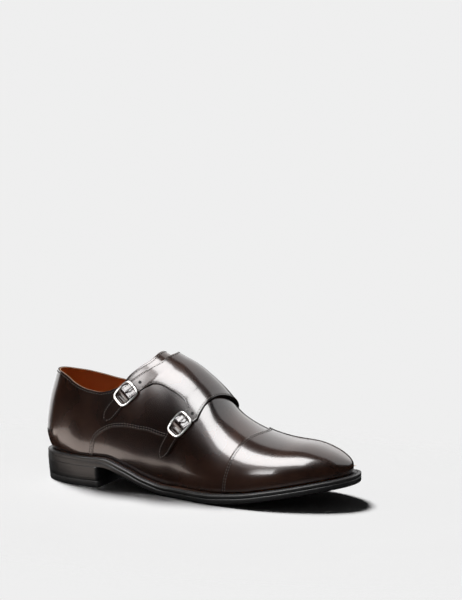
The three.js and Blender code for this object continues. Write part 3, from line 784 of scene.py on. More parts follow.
# %% [markdown]
# ## Vamp and lining
# The vamp is one sheet over the whole last, with the quarters laid on it. The lining is a second,
# softer sheet inside, in tan leather, whose lighter cut edge shows along the top line.


# %% Vamp
ROWS_BACK, ROWS_FORE, AROUND = 66, 84, 40


def shell(lift, hem=0.0):
    bm = bmesh.new()
    lay(bm, ROWS_BACK, AROUND, quarter_place(-1, lift, hem))
    lay(bm, ROWS_BACK, AROUND, quarter_place(1, lift, hem))
    lay(bm, ROWS_FORE, 2 * AROUND, vamp_place(lift, hem))
    weld(bm)
    return bm


vamp_mesh = shell(VAMP_LIFT)
wall(vamp_mesh, VAMP_THICK, INNER_EDGE)
keep(vamp_mesh, "vamp", leather, "upper", rim=cut_edge_shade_look)

# %% Lining, whose hem ends a little above the sole edge
LINING_HEM = 0.016
lining_mesh = shell(LINING_LIFT, LINING_HEM)
wall(lining_mesh, LINING_THICK, INNER_EDGE)
keep(lining_mesh, "lining", lining_look, rim=cut_lining)

# %% [markdown]
# ## Quarters
# The two quarters meet in a seam down the back of the heel. Each is a grid between its lower edge,
# which is first the sole edge and then the seam, and the top line. The bevelled edge of this layer
# is the raised step that the double row of stitches follows.


# %% Quarters
REAR_ROWS, FORE_CROWD = 0.4, 1.5
RIDGE_END = 0.985
CORNER_AT, CORNER_DROP, CORNER_RUN = 0.5, 0.48, 0.045


def quarters_place(side):
    def place(s, t):
        before = s < REAR_ROWS
        fore = np.maximum((s - REAR_ROWS) / (1 - REAR_ROWS), 0) ** FORE_CROWD
        at = np.where(before, at_between(0, SEAM_START, np.minimum(s / REAR_ROWS, 1)),
                      SEAM_START + (SEAM_END[side] - SEAM_START) * fore)
        low = np.where(before, 0, SEAM[side](at))
        high = np.minimum(np.where(at < THROAT_AT, COLLAR[side](at), 1.0), RIDGE_END)
        if side > 0:
            corner = 1 - CORNER_DROP * (at - CORNER_AT) / CORNER_RUN
            high = np.where(at > CORNER_AT, np.minimum(high, corner), high)
        return on_leather(at, side * (1 - low - (high - low) * t), QUARTER_LIFT)[0]
    return place


quarters_mesh = bmesh.new()
for side in (-1, 1):
    lay(quarters_mesh, 120, 40, quarters_place(side))
weld(quarters_mesh)
wall(quarters_mesh, QUARTER_THICK, OUTER_EDGE)
keep(quarters_mesh, "quarters", leather, rim=cut_edge_shade_look)


# %% [markdown]
# ## Toe cap
# A plain straight-across cap. It has its own seam curve, a little swept back at the sides, and runs
# on under the sole edge like the vamp below it.


# %% Toe cap
def cap_place(s, t):
    girth = 2 * t - 1
    at = at_between(cap_seam(girth), 1, s)
    return on_leather(at, np.clip(girth, -RIDGE_END, RIDGE_END), CAP_LIFT)[0]


cap_mesh = bmesh.new()
lay(cap_mesh, 60, 80, cap_place)
weld(cap_mesh)
wall(cap_mesh, CAP_THICK, OUTER_EDGE)
keep(cap_mesh, "straight_cap", leather, "toe_cap", rim=cut_edge_shade_look)

# %% [markdown]
# ## Flap with its two straps
# The flap crosses the instep and ends in two straps. Its end is one line: root of the rear strap,
# cut-out, root of the front strap. A strap is laid in a chart, in millimetres along and across, and
# climbs over the centre bar of its buckle.


# %% Charts of the straps
STRAP_WIDTH = 12
NOSE_LENGTH = 9
BUCKLE_LENGTH, BUCKLE_WIDTH, BUCKLE_WIRE, BUCKLE_BAR = 21, 16.6, 1.8, 2
BUCKLE_STAND, BUCKLE_BOW, PRONG_WIRE = 2.1, 1, 1.8
STRAPS = {
    "rear": dict(at=0.315, girth=-0.607, slope=45.8, root=13.5, tip=29, nose=0.35),
    "front": dict(at=0.501, girth=-0.615, slope=52.5, root=14.5, tip=29, nose=0.15),
}
CHART_STEP = 1e-3


def chart(strap):
    """From u along and w across a strap, in millimetres, to shares of the last."""
    at, girth = strap["at"], strap["girth"]
    centre = surface(at, girth)[0]
    by_at = (surface(at + CHART_STEP, girth)[0] - centre) / CHART_STEP
    by_girth = (surface(at, girth + CHART_STEP)[0] - centre) / CHART_STEP
    normal = unit(np.cross(by_at, by_girth))
    slope = math.radians(strap["slope"])
    along = np.array([-math.cos(slope), 0, -math.sin(slope)])
    along = unit(along - normal * (along @ normal))
    across = unit(np.cross(along, normal))
    if across[0] < 0:
        across = -across
    basis = np.stack([by_at, by_girth], axis=1)
    solve = np.linalg.pinv(basis)
    unit_along, unit_across = solve @ along, solve @ across
    return lambda u, w: (at + unit_along[0] * u + unit_across[0] * w,
                         girth + unit_along[1] * u + unit_across[1] * w)


CHARTS = {name: chart(strap) for name, strap in STRAPS.items()}
for name, to_share in CHARTS.items():
    print(f"{name} buckle is centred at", [round(float(v), 3) for v in to_share(0, 0)])

# %% Straps
BAR_TOP = BUCKLE_STAND + BUCKLE_BAR / 2
HUMP_REACH = 7.2
nose = curve([0, 0.4, 0.7, 0.9, 1], [1, 0.94, 0.7, 0.38, 0])


def strap_lift(u):
    """The strap rises over the bar in one round hump."""
    near = np.clip(np.abs(u) / HUMP_REACH, 0, 1)
    return STRAP_GAP + BAR_TOP * (1 + np.cos(math.pi * near)) / 2


def strap_wide(strap, u):
    """Width of a strap as a share of its full width: it narrows in the nose."""
    share = np.maximum(u - (strap["tip"] - NOSE_LENGTH), 0) / NOSE_LENGTH
    return np.maximum(nose(share), strap["nose"] * share)


def strap_place(name):
    strap = STRAPS[name]

    def place(s, t):
        u = -strap["root"] + (strap["root"] + strap["tip"]) * s
        at, girth = CHARTS[name](u, STRAP_WIDTH * strap_wide(strap, u) * (t - 0.5))
        return surface(at, girth, strap_lift(u) + STRAP_THICK)[0]
    return place


print("the hump over the bar is", strap_lift(0.0) - STRAP_GAP, "mm high")

# %% [markdown]
# The flap is laid between its rear and its front edge, each a smooth curve through a few places.
# The edges could be drawn in Blender's curve editor, but as places on the last they stay right when
# a size changes. Its third side, the strap end, is pulled out to meet the straps and the cut-out.


# %% A smooth line through points
def spline(points):
    """A Catmull-Rom curve through points, by a share from 0 to 1."""
    points = np.array(points, float)
    last = len(points) - 1

    def value(share):
        spot = np.clip(np.asarray(share, float), 0, 1) * last
        i = np.minimum(spot.astype(int), last - 1)
        t = (spot - i)[..., None]
        p0, p1 = points[np.maximum(i - 1, 0)], points[i]
        p2, p3 = points[i + 1], points[np.minimum(i + 2, last)]
        p0 = np.where((i == 0)[..., None], p1, p0)
        v0, v1 = (p2 - p0) / 2, (p3 - p1) / 2
        return ((2 * p1 - 2 * p2 + v0 + v1) * t ** 3
                + (-3 * p1 + 3 * p2 - 2 * v0 - v1) * t ** 2 + v0 * t + p1)
    return value


# %% Edges of the flap
FLAP_REAR = [(0.300, 0.565), (0.335, 0.490), (0.372, 0.375), (0.404, 0.210), (0.424, 0.000),
             (0.415, -0.150), (0.396, -0.285)]
FLAP_FRONT = [(0.545, 0.640), (0.572, 0.540), (0.592, 0.400), (0.600, 0.220), (0.592, 0.000),
              (0.575, -0.200), (0.560, -0.350)]
CUT_OUT = [(0.373, -0.504), (0.396, -0.453), (0.424, -0.426), (0.453, -0.428), (0.478, -0.434),
           (0.498, -0.441), (0.506, -0.456)]


def root_corner(name, side):
    return np.array(CHARTS[name](-STRAPS[name]["root"], side * STRAP_WIDTH / 2))


REAR_ROOT = [root_corner("rear", side) for side in (-1, 1)]
FRONT_ROOT = [root_corner("front", side) for side in (-1, 1)]
flap_rear = spline([*FLAP_REAR, REAR_ROOT[0]])
flap_front = spline([*FLAP_FRONT, FRONT_ROOT[1]])
cut_out = spline([REAR_ROOT[1], *CUT_OUT, FRONT_ROOT[0]])
print("middle of the cut-out's edge:", cut_out(np.array([0.5]))[0].round(3))

# %% The flap between its edges
ROOT_COLUMNS, CUT_COLUMNS = 12, 60
FLAP_COLUMNS = 2 * ROOT_COLUMNS + CUT_COLUMNS
CUT_FROM, CUT_TO = 0.16, 0.83


def flap_share(s, t):
    """Place on the last of the flap's point (s, t). m tells how far it is to the front edge."""
    j = t * FLAP_COLUMNS
    in_rear = j <= ROOT_COLUMNS + NEAR
    in_front = j >= ROOT_COLUMNS + CUT_COLUMNS - NEAR
    rear_part = np.clip(j / ROOT_COLUMNS, 0, 1)
    cut_part = np.clip((j - ROOT_COLUMNS) / CUT_COLUMNS, 0, 1)
    front_part = np.clip((j - ROOT_COLUMNS - CUT_COLUMNS) / ROOT_COLUMNS, 0, 1)
    m = np.where(in_rear, CUT_FROM * rear_part,
                 np.where(in_front, CUT_TO + (1 - CUT_TO) * front_part,
                          CUT_FROM + (CUT_TO - CUT_FROM) * cut_part))[..., None]
    rear_line = REAR_ROOT[0] + (REAR_ROOT[1] - REAR_ROOT[0]) * rear_part[..., None]
    front_line = FRONT_ROOT[0] + (FRONT_ROOT[1] - FRONT_ROOT[0]) * front_part[..., None]
    end = np.where(in_rear[..., None], rear_line,
                   np.where(in_front[..., None], front_line, cut_out(cut_part)))
    pull = end - (REAR_ROOT[0] + (FRONT_ROOT[1] - REAR_ROOT[0]) * m)
    spot = flap_rear(s) * (1 - m) + flap_front(s) * m + pull * s[..., None] ** 2
    return spot[..., 0], spot[..., 1]


# %% Flap and straps in one piece
FLAP_SUNK, RISE_SHARE = -0.25, 0.34
FULL_LIFT = STRAP_GAP + STRAP_THICK
CUT_STAND, STAND_ROUND, STAND_LATE = 1.05, 2.4, 4
STRAP_ROWS, FLAP_ROWS = 72, 84
FLAP_WELD = 0.02


def flap_lift(s):
    return FLAP_SUNK + (FULL_LIFT - FLAP_SUNK) * smooth_step(s / RISE_SHARE)


def edge_stand(part):
    """The free edge of the cut-out stands off the leather, most of all in its middle."""
    return CUT_STAND * np.sin(math.pi * part) ** STAND_ROUND


def flap_place(s, t):
    at, girth = flap_share(s, t)
    part = np.clip((t * FLAP_COLUMNS - ROOT_COLUMNS) / CUT_COLUMNS, 0, 1)
    return surface(at, girth, flap_lift(s) + edge_stand(part) * s ** STAND_LATE)[0]


wing_mesh = bmesh.new()
lay(wing_mesh, FLAP_ROWS, FLAP_COLUMNS, flap_place)
for name in STRAPS:
    lay(wing_mesh, STRAP_ROWS, ROOT_COLUMNS, strap_place(name))
weld(wing_mesh, FLAP_WELD)
wall(wing_mesh, FLAP_THICK, OUTER_EDGE, 3)
wing = keep(wing_mesh, "strapped_flap", leather, "strap_wing", rim=cut_edge_shade_look)

# %% [markdown]
# ## Tongue
# The tongue lies under the flap and shows as a narrow band behind it. Its free edge is a curve, and
# its other end is tucked away below the vamp.

# %% Tongue
TONGUE_EDGE = [(0.292, -0.585), (0.308, -0.512), (0.329, -0.437), (0.350, -0.355), (0.369, -0.270),
               (0.381, -0.150), (0.386, 0.000), (0.381, 0.150), (0.369, 0.270), (0.350, 0.355),
               (0.329, 0.437), (0.308, 0.512), (0.292, 0.585)]
TONGUE_HELD_AT = 0.6
tongue_edge = spline(TONGUE_EDGE)


def tongue_share(s, t):
    free = tongue_edge(t)
    held = TONGUE_HELD_AT * np.stack([np.ones_like(t), 2 * t - 1], axis=-1)
    return free + (held - free) * s[..., None]


def tongue_place(s, t):
    spot = tongue_share(s, t)
    return surface(spot[..., 0], spot[..., 1], TONGUE_LIFT)[0]


tongue_mesh = bmesh.new()
lay(tongue_mesh, 50, 72, tongue_place)
weld(tongue_mesh)
wall(tongue_mesh, TONGUE_THICK, TONGUE_ROUND)
keep(tongue_mesh, "leather_tongue", leather, "tongue", rim=cut_edge_shade_look)

# %% [markdown]
# ## Insole
# Inside the shoe a leather insole closes the bottom. It is a plate with the outline of the sole,
# drawn in by the thickness of the upper. Insole, outsole and heel are all such plates, so one
# function makes them: it stacks outlines, each with its own way out and its own height, wraps one
# grid round them and closes top and bottom with two more.


# %% Ways out and heights of a level
def steady(value):
    return lambda along: value + 0 * along


def over(level, rise):
    return lambda x: level(x) + rise


# %% Plates with the outline of the sole
def plate(levels, start=0.0, end=1.0, steps=90, across=16, square_x=None):
    """Levels run from the bottom up: each is (out(at), height(x))."""
    bm = bmesh.new()

    def rim(k, share, side):
        at = at_between(start, end, share)
        out, height = levels[k]
        x, y = beside(at, side, out(at))
        if square_x is not None:
            x = np.where(share > 1 - NEAR, square_x, x)
        return np.stack([x, y, height(x)], axis=-1)

    def side_place(s, t):
        """t goes round the outline, s up the levels."""
        spot = t * 2
        side = np.where(spot <= 1, -1.0, 1.0)
        share = np.where(spot <= 1, 1 - spot, spot - 1)
        k = np.rint(s * (len(levels) - 1)).astype(int)
        return np.array([rim(a, b, c) for a, b, c in zip(k, share, side)])

    def flat_place(k):
        def place(s, t):
            low, high = rim(k, t, np.full_like(t, -1.0)), rim(k, t, np.full_like(t, 1.0))
            spot = low + (high - low) * s[..., None]
            spot[..., 2] = levels[k][1](spot[..., 0])
            return spot
        return place

    lay(bm, len(levels) - 1, 2 * steps, side_place)
    lay(bm, across, steps, flat_place(0))
    lay(bm, across, steps, flat_place(len(levels) - 1))
    if square_x is not None:
        def breast(s, t):
            k = np.rint(s * (len(levels) - 1)).astype(int)
            low = np.array([rim(a, 1.0, -1.0) for a in k])
            high = np.array([rim(a, 1.0, 1.0) for a in k])
            return low + (high - low) * t[..., None]
        lay(bm, len(levels) - 1, across, breast)
    weld(bm)
    return bm


# %% Insole
UPPER_WALL = 2
INSOLE_TOP, INSOLE_ROUND, INSOLE_EASE = 1.4, 0.5, 0.7
inside_feather = FEATHER_TUCK + UPPER_WALL + GAP
insole_out = inside_feather + GAP
insole_mesh = plate([
    (steady(-insole_out), over(sole_top, GAP)),
    (steady(-insole_out), over(seat, INSOLE_TOP - INSOLE_ROUND)),
    (steady(-insole_out - INSOLE_EASE), over(seat, INSOLE_TOP)),
])
keep(insole_mesh, "insole_board", lining_look, "insole")

# %% [markdown]
# ## Welt and outsole
# The welt is a strip of leather round the shoe that holds upper and sole together. It could be cut
# from the outsole's plate, but it has a profile of its own, with a fine groove on top, so that
# profile is pushed along the outline of the sole. The outsole below it is a plate again, and its
# edges are rounded as a maker files them.


# %% Welt
def strip(profile, steps=110):
    """A closed profile of (out(at), height(x)) pushed round the whole outline."""
    bm = bmesh.new()
    count = len(profile)

    def place(s, t):
        spot = s * 2
        side = np.where(spot <= 1, -1.0, 1.0)
        at = at_between(0, 1, np.where(spot <= 1, spot, 2 - spot))
        k = np.rint(t * count).astype(int) % count
        out = np.choose(k, [np.broadcast_to(p[0](at), at.shape) for p in profile])
        x, y = beside(at, side, out)
        z = np.choose(k, [np.broadcast_to(p[1](x), x.shape) for p in profile])
        return np.stack([x, y, z], axis=-1)

    lay(bm, 2 * steps, count, place)
    weld(bm)
    return bm


# %% Ways out to the sole's edge
FADE_AT, FADE_RUN = 0.16, 0.14


def rim_at(back):
    return lambda at: extension(at) - back


def fades(back, least=0.15):
    """An edge rounding that dies out round the heel, where the whole side is filed as one."""
    def out(at):
        return extension(at) - back * (least + (1 - least) * smooth_step((at - FADE_AT) / FADE_RUN))
    return out


# %% Welt: its profile as ways out from the last and heights
welt_mesh = strip([
    (steady(-inside_feather), over(sole_top, 0.02)),
    (fades(0.75), over(sole_top, 0.02)),
    (fades(0.25), over(sole_top, 0.2)),
    (rim_at(0), over(sole_top, 0.6)),
    (rim_at(0), over(welt_top, -0.9)),
    (rim_at(0.15), over(welt_top, -0.45)),
    (rim_at(0.45), over(welt_top, -0.12)),
    (rim_at(0.9), over(welt_top, 0)),
    (rim_at(1.5), over(welt_top, 0)),
    (rim_at(1.75), over(welt_top, -0.3)),
    (rim_at(2.0), over(welt_top, 0)),
    (rim_at(2.6), over(welt_top, 0)),
    (steady(-inside_feather), over(welt_top, 0)),
])
keep(welt_mesh, "welt_strip", welt_look, "welt")

# %% Outsole
outsole_mesh = plate([
    (fades(1.4, 0.05), over(underside, 0)),
    (fades(0.6, 0.05), over(underside, 0.12)),
    (fades(0.2, 0.05), over(underside, 0.4)),
    (rim_at(0), over(underside, 0.9)),
    (rim_at(0), over(sole_top, -0.6)),
    (fades(0.2), over(sole_top, -0.2)),
    (fades(0.6), over(sole_top, 0)),
], steps=100)
keep(outsole_mesh, "sole", edge_look, "outsole")

# %% [markdown]
# ## Heel
# The heel is built up from lifts of leather, blackened and polished as one, with a rubber top lift
# at the ground. Its front, the breast, is cut straight across. It is a plate of many levels, and at
# each joint of two lifts one level steps in by a hair, which draws the fine line between them.

# %% Heel stack
HEEL_LENGTH, HEEL_TAPER, TOP_LIFT = 66, 1.6, 6
BREAST_AT = (HEEL_LENGTH - HEEL_EDGE) / LAST_LENGTH
STACK_FOOT, STACK_HEIGHT, STACK_EASE = 6.3, 12.7, 0.05
JOINTS, JOINT_HALF, JOINT_DEEP = (0.34, 0.67), 0.02, 0.015
HEEL_STEPS, HEEL_ACROSS = 40, 10


def heel_out(height, back=0.0):
    return lambda at: extension(at) - HEEL_TAPER * (1 - height / HEEL_LIFT) - back


def up_to_sole(share):
    """A height that turns from level lifts into the slope of the sole above."""
    low = TOP_LIFT + 0.04
    return lambda x: low + (underside(x) - GAP - low) * share


stack_levels = [(heel_out(6.1, STACK_EASE), up_to_sole(0)), (heel_out(6.4), up_to_sole(0.02))]
for share in JOINTS:
    height = STACK_FOOT + STACK_HEIGHT * share
    stack_levels += [(heel_out(height), up_to_sole(share - JOINT_HALF)),
                     (heel_out(height, JOINT_DEEP), up_to_sole(share)),
                     (heel_out(height), up_to_sole(share + JOINT_HALF))]
stack_levels += [(heel_out(19), up_to_sole(0.98)),
                 (heel_out(HEEL_LIFT, STACK_EASE), up_to_sole(1.02))]
stack_mesh = plate(stack_levels, 0.0, BREAST_AT, HEEL_STEPS, HEEL_ACROSS, HEEL_LENGTH)
keep(stack_mesh, "heel_lifts", edge_look, "heel_stack")

# %% Top lift
lift_mesh = plate([
    (heel_out(0, 0.8), steady(0)),
    (heel_out(0.3, 0.25), steady(0.25)),
    (heel_out(0.8), steady(0.8)),
    (heel_out(5.8), steady(5.8)),
    (heel_out(TOP_LIFT, STACK_EASE), steady(TOP_LIFT)),
], 0.0, BREAST_AT, HEEL_STEPS, HEEL_ACROSS, HEEL_LENGTH)
keep(lift_mesh, "top_lift", rubber_look, "heel_top_lift")

# %% [markdown]
# ## Buckles
# Each buckle is a ring of round wire, bent to the leather below it, with a bar across the middle
# and a prong. A ring could be a curve with a bevel, but a grid rolled round the same path keeps
# its facets even and needs no conversion.


# %% Tubes
def tube(bm, centres, ups, radii, steps, sides, closed):
    """A round tube along points in shoe millimetres."""
    count = len(centres)
    if closed:
        ahead = np.roll(centres, -1, axis=0) - np.roll(centres, 1, axis=0)
    else:
        ahead = np.gradient(centres, axis=0)
    ahead = unit(ahead)
    out = unit(np.cross(ahead, ups))
    lift = unit(np.cross(out, ahead))

    def place(s, t):
        i = np.rint(s * steps).astype(int) % count if closed else np.rint(s * steps).astype(int)
        angle = 2 * math.pi * t
        return (centres[i] + out[i] * (radii[i] * np.cos(angle))[..., None]
                + lift[i] * (radii[i] * np.sin(angle))[..., None])
    lay(bm, steps, sides, place)


# %% Path of the wire
RING_STEPS, TUBE_SIDES = 112, 14
SQUARENESS = 0.5
frame_length = BUCKLE_LENGTH - BUCKLE_WIRE
frame_width = BUCKLE_WIDTH - BUCKLE_WIRE
side_lift = BAR_TOP + BUCKLE_WIRE / 4
end_lift = STRAP_GAP + STRAP_THICK + GAP + BUCKLE_WIRE / 2 + BUCKLE_BOW


def frame_lift(u):
    """The frame is bowed: low at its sides, high at its ends, where it passes over the strap."""
    return side_lift + (end_lift - side_lift) * (np.abs(u) / (frame_length / 2)) ** 2


def ring_path():
    """Even steps (u, w) round a rectangle with round corners, in the strap's chart."""
    angle = 2 * math.pi * np.arange(RING_STEPS) / RING_STEPS
    corner = np.array([np.cos(angle), np.sin(angle)])
    corner = np.sign(corner) * np.abs(corner) ** SQUARENESS
    u, w = frame_length / 2 * corner[0], frame_width / 2 * corner[1]
    path = np.stack([u, w], axis=-1)
    lengths = np.linalg.norm(np.diff(path, axis=0, append=path[:1]), axis=1)
    run = np.concatenate([[0], np.cumsum(lengths)])
    even = np.linspace(0, run[-1], RING_STEPS, endpoint=False)
    return np.interp(even, run, np.append(u, u[0])), np.interp(even, run, np.append(w, w[0]))


print("a buckle frame in mm:", BUCKLE_LENGTH, "by", BUCKLE_WIDTH)

# %% Frames with their bars
WIRE_SPARE = 0.12
BAR_STEPS = 8


def buckle_frame(to_share):
    bm = bmesh.new()
    u, w = ring_path()
    centres, ups = surface(*to_share(u, w), frame_lift(u))
    radii = np.full(RING_STEPS, BUCKLE_WIRE / 2 + WIRE_SPARE)
    tube(bm, centres, ups, radii, RING_STEPS, TUBE_SIDES, True)
    weld(bm)
    w = np.linspace(-frame_width / 2, frame_width / 2, BAR_STEPS + 1)
    centres, ups = surface(*to_share(0 * w, w), BUCKLE_STAND)
    tube(bm, centres, ups, np.full(BAR_STEPS + 1, BUCKLE_BAR / 2), BAR_STEPS, TUBE_SIDES, False)
    weld(bm)
    return bm


# %% [markdown]
# A prong is a short pin that turns on the bar and rests on the frame's far end. The same tube makes
# it, thinner towards its tip, and Blender's hole filling closes both ends.

# %% Prongs
PRONG_STEPS, PRONG_PAST = 14, 1.5
PRONG_THICK, PRONG_TAPER = 0.85, 0.25
END_ROUND, END_NEXT = 0.35, 0.85
prong_reach = frame_length / 2 + PRONG_PAST
bar_lift = strap_lift(0.0) + STRAP_THICK + GAP + PRONG_WIRE / 2
rest_lift = frame_lift(frame_length / 2) + BUCKLE_WIRE / 2 + GAP + PRONG_WIRE / 2


def prong(to_share):
    ends, ups = surface(*to_share(np.array([0.0, -prong_reach]), np.zeros(2)),
                        np.array([bar_lift, rest_lift]))
    share = np.linspace(0, 1, PRONG_STEPS + 1)
    centres = ends[0] + (ends[1] - ends[0]) * share[:, None]
    ups = unit(ups[0] + (ups[1] - ups[0]) * share[:, None])
    radii = PRONG_WIRE / 2 * (PRONG_THICK - PRONG_TAPER * share)
    radii[[0, -1]] *= END_ROUND
    radii[[1, -2]] *= END_NEXT
    bm = bmesh.new()
    tube(bm, centres, ups, radii, PRONG_STEPS, TUBE_SIDES, False)
    weld(bm)
    bmesh.ops.holes_fill(bm, edges=[e for e in bm.edges if e.is_boundary], sides=0)
    bmesh.ops.recalc_face_normals(bm, faces=bm.faces[:])
    return bm


for name, to_share in CHARTS.items():
    keep(buckle_frame(to_share), f"{name}_buckle", steel_look, f"buckle_frame_{name}")
    keep(prong(to_share), f"{name}_prong", shaded_prong_look, f"buckle_prong_{name}")

# %% [markdown]
# ## Stitches
# Each stitch is a small thread bead, half sunk in the leather, and between two beads the needle has
# left a pit, drawn as a dark bead of painted shade. A texture could draw them, but beads catch the
# light as thread does. Rows follow the same seam curves as the pieces, so a row can't drift off its
# edge. One bead is made from Blender's sphere and copied, stretched along each stitch, and all beads
# of one thread are one piece.


# %% One bead
ball = bmesh.new()
bmesh.ops.create_uvsphere(ball, u_segments=6, v_segments=5, radius=1)
bmesh.ops.rotate(ball, verts=ball.verts[:], matrix=Matrix.Rotation(math.pi / 2, 3, "Y"))
bead_mesh = bpy.data.meshes.new("bead")
ball.to_mesh(bead_mesh)
ball.free()
print("faces of a bead:", len(bead_mesh.polygons))


def bead(bm, spot, ahead, up, length, thick):
    """A copy of the round bead, stretched along a stitch."""
    ahead, up = Vector(ahead).normalized(), Vector(up).normalized()
    out = ahead.cross(up).normalized()
    up = out.cross(ahead)
    stretch = Matrix((ahead * length / 2, out * thick / 2, up * thick / 2)).transposed().to_4x4()
    copy = bead_mesh.copy()
    copy.transform(Matrix.Translation(spot) @ stretch)
    bm.from_mesh(copy)
    bpy.data.meshes.remove(copy)


# %% Rows of stitches, sizes in millimetres
PIT, HALF_CHORD = 1.0, 0.3
SEAM_THREAD = dict(pitch=2.6, length=1.4, thick=0.8, sunk=0.12)
COLLAR_THREAD = dict(pitch=2.4, length=1.5, thick=0.4, sunk=0.1)
FLAP_THREAD = dict(pitch=2.6, length=1.5, thick=0.9, sunk=0.2)
STRAP_THREAD = dict(pitch=2.5, length=1.3, thick=0.7, sunk=0.1)
WELT_ROW_THREAD = dict(pitch=3.0, length=2.3, thick=0.75, sunk=0.1)
thread, pit_shades = bmesh.new(), bmesh.new()


def row(bm, points, normals, inset, pitch, length, thick, sunk):
    """Beads along a line of points, moved sideways by inset in the surface, and dark beads of
    painted shade for the needle pits between them."""
    points, normals = np.asarray(points), unit(np.asarray(normals))
    ahead = unit(np.gradient(points, axis=0))
    line = points + unit(np.cross(normals, ahead)) * inset
    run = np.concatenate([[0], np.cumsum(np.linalg.norm(np.diff(line, axis=0), axis=1))])
    count = max(int(run[-1] / pitch), 1)

    def along(values, spot):
        return np.array([np.interp(spot, run, values[:, i]) for i in range(3)])

    for step in range(2 * count):
        spot = (step + 0.5) * run[-1] / (2 * count)
        at, up = along(line, spot), along(normals, spot)
        chord = along(line, spot + HALF_CHORD) - along(line, spot - HALF_CHORD)
        if step % 2:
            # painted shade: a dark bead for the shaded inside of a needle pit
            bead(pit_shades, Vector(to_frame(at)), chord, up, PIT * MM, PIT * MM)
        else:
            bead(bm, Vector(to_frame(at - up * sunk)), chord, up, length * MM, thick * MM)
    return count


# %% Rows along quarters, top line and cap
counts = {}
TURN_AT, ROW_END = 0.216, {-1: 0.452, 1: 0.54}
QUARTER_INSETS, CAP_INSETS, COLLAR_INSET = (1.3, 3.1), (1.2, 3.0), 2.0
for side in (-1, 1):
    at = np.concatenate([np.linspace(SEAM_START, TURN_AT, 30)[:-1],
                         np.linspace(TURN_AT, ROW_END[side], 120)])
    points, normals = on_leather(at, side * (1 - SEAM[side](at)), QUARTER_LIFT)
    for inset in QUARTER_INSETS:
        stitches = row(thread, points, normals, inset * -side, **SEAM_THREAD)
        counts[f"quarter {side} {inset}"] = stitches
    at = at_between(0.004, 0.33, np.linspace(0, 1, 160))
    points, normals = on_leather(at, side * (1 - COLLAR[side](at)), QUARTER_LIFT)
    counts[f"collar {side}"] = row(thread, points, normals, COLLAR_INSET * side, **COLLAR_THREAD)
girth = np.linspace(-0.97, 0.97, 240)
points, normals = on_leather(cap_seam(girth), girth, CAP_LIFT)
for inset in CAP_INSETS:
    counts[f"cap {inset}"] = row(thread, points, normals, -inset, **SEAM_THREAD)
print("stitches so far:", counts)

# %% Rows round flap, straps and tongue
FLAP_INSET, TONGUE_INSET, TIP_INSET = 1.3, 2.0, 0.6
ROW_STAND = 0.87


def strap_edge(name, side, samples=130):
    strap = STRAPS[name]
    u = np.linspace(-strap["root"], strap["tip"] - TIP_INSET, samples)
    half = np.maximum(STRAP_WIDTH * strap_wide(strap, u) / 2 - FLAP_INSET, 0.0)
    at, girth = CHARTS[name](u, side * half)
    return surface(at, girth, strap_lift(u) + STRAP_THICK)


s = np.linspace(0.12, 1, 200)
for name, line, inset in (("rear", flap_rear, FLAP_INSET), ("front", flap_front, -FLAP_INSET)):
    spot = line(s)
    points, normals = surface(spot[:, 0], spot[:, 1], flap_lift(s))
    counts[f"flap {name}"] = row(thread, points, normals, inset, **FLAP_THREAD)
part = np.linspace(0, 1, 160)
spot = cut_out(part)
points, normals = surface(spot[:, 0], spot[:, 1], FULL_LIFT + ROW_STAND * edge_stand(part))
counts["cut-out"] = row(thread, points, normals, FLAP_INSET, **FLAP_THREAD)
for name in STRAPS:
    for side in (-1, 1):
        counts[f"{name} strap {side}"] = row(thread, *strap_edge(name, side), 0, **STRAP_THREAD)
spot = tongue_edge(np.linspace(0.03, 0.97, 200))
points, normals = surface(spot[:, 0], spot[:, 1], TONGUE_LIFT)
counts["tongue"] = row(thread, points, normals, -TONGUE_INSET, **FLAP_THREAD)
bmesh.ops.recalc_face_normals(thread, faces=thread.faces[:])
keep(thread, "upper_stitches", thread_look)
print("stitches:", counts)

# %% Welt stitches, and needle pits as painted shade
WELT_ROW_FROM, WELT_ROW_IN = 0.2, 3.2
welt_rows = bmesh.new()
for side in (-1.0, 1.0):
    at = at_between(WELT_ROW_FROM, 1.0, np.linspace(0, 1, 400))
    x, y = beside(at, np.full_like(at, side), extension(at) - WELT_ROW_IN)
    points = np.stack([x, y, welt_top(x)], axis=-1)
    upright = np.tile([0.0, 0.0, 1.0], (len(at), 1))
    print("welt stitches:", row(welt_rows, points, upright, 0, **WELT_ROW_THREAD))
bmesh.ops.recalc_face_normals(welt_rows, faces=welt_rows.faces[:])
keep(welt_rows, "welt_stitches", welt_thread_look)
bmesh.ops.recalc_face_normals(pit_shades, faces=pit_shades.faces[:])
keep(pit_shades, "needle_pit_shades", hole_shade_look)

# %% [markdown]
# ## Strap holes
# Each strap shows one punched hole beside its buckle. A true hole would need a cut through the
# grid, and what is seen of it is only a dark round mouth, so a dark circle of painted shade is set on
# the finished skin, where Blender finds the nearest place of the flap, and its middle is sunk a
# little.

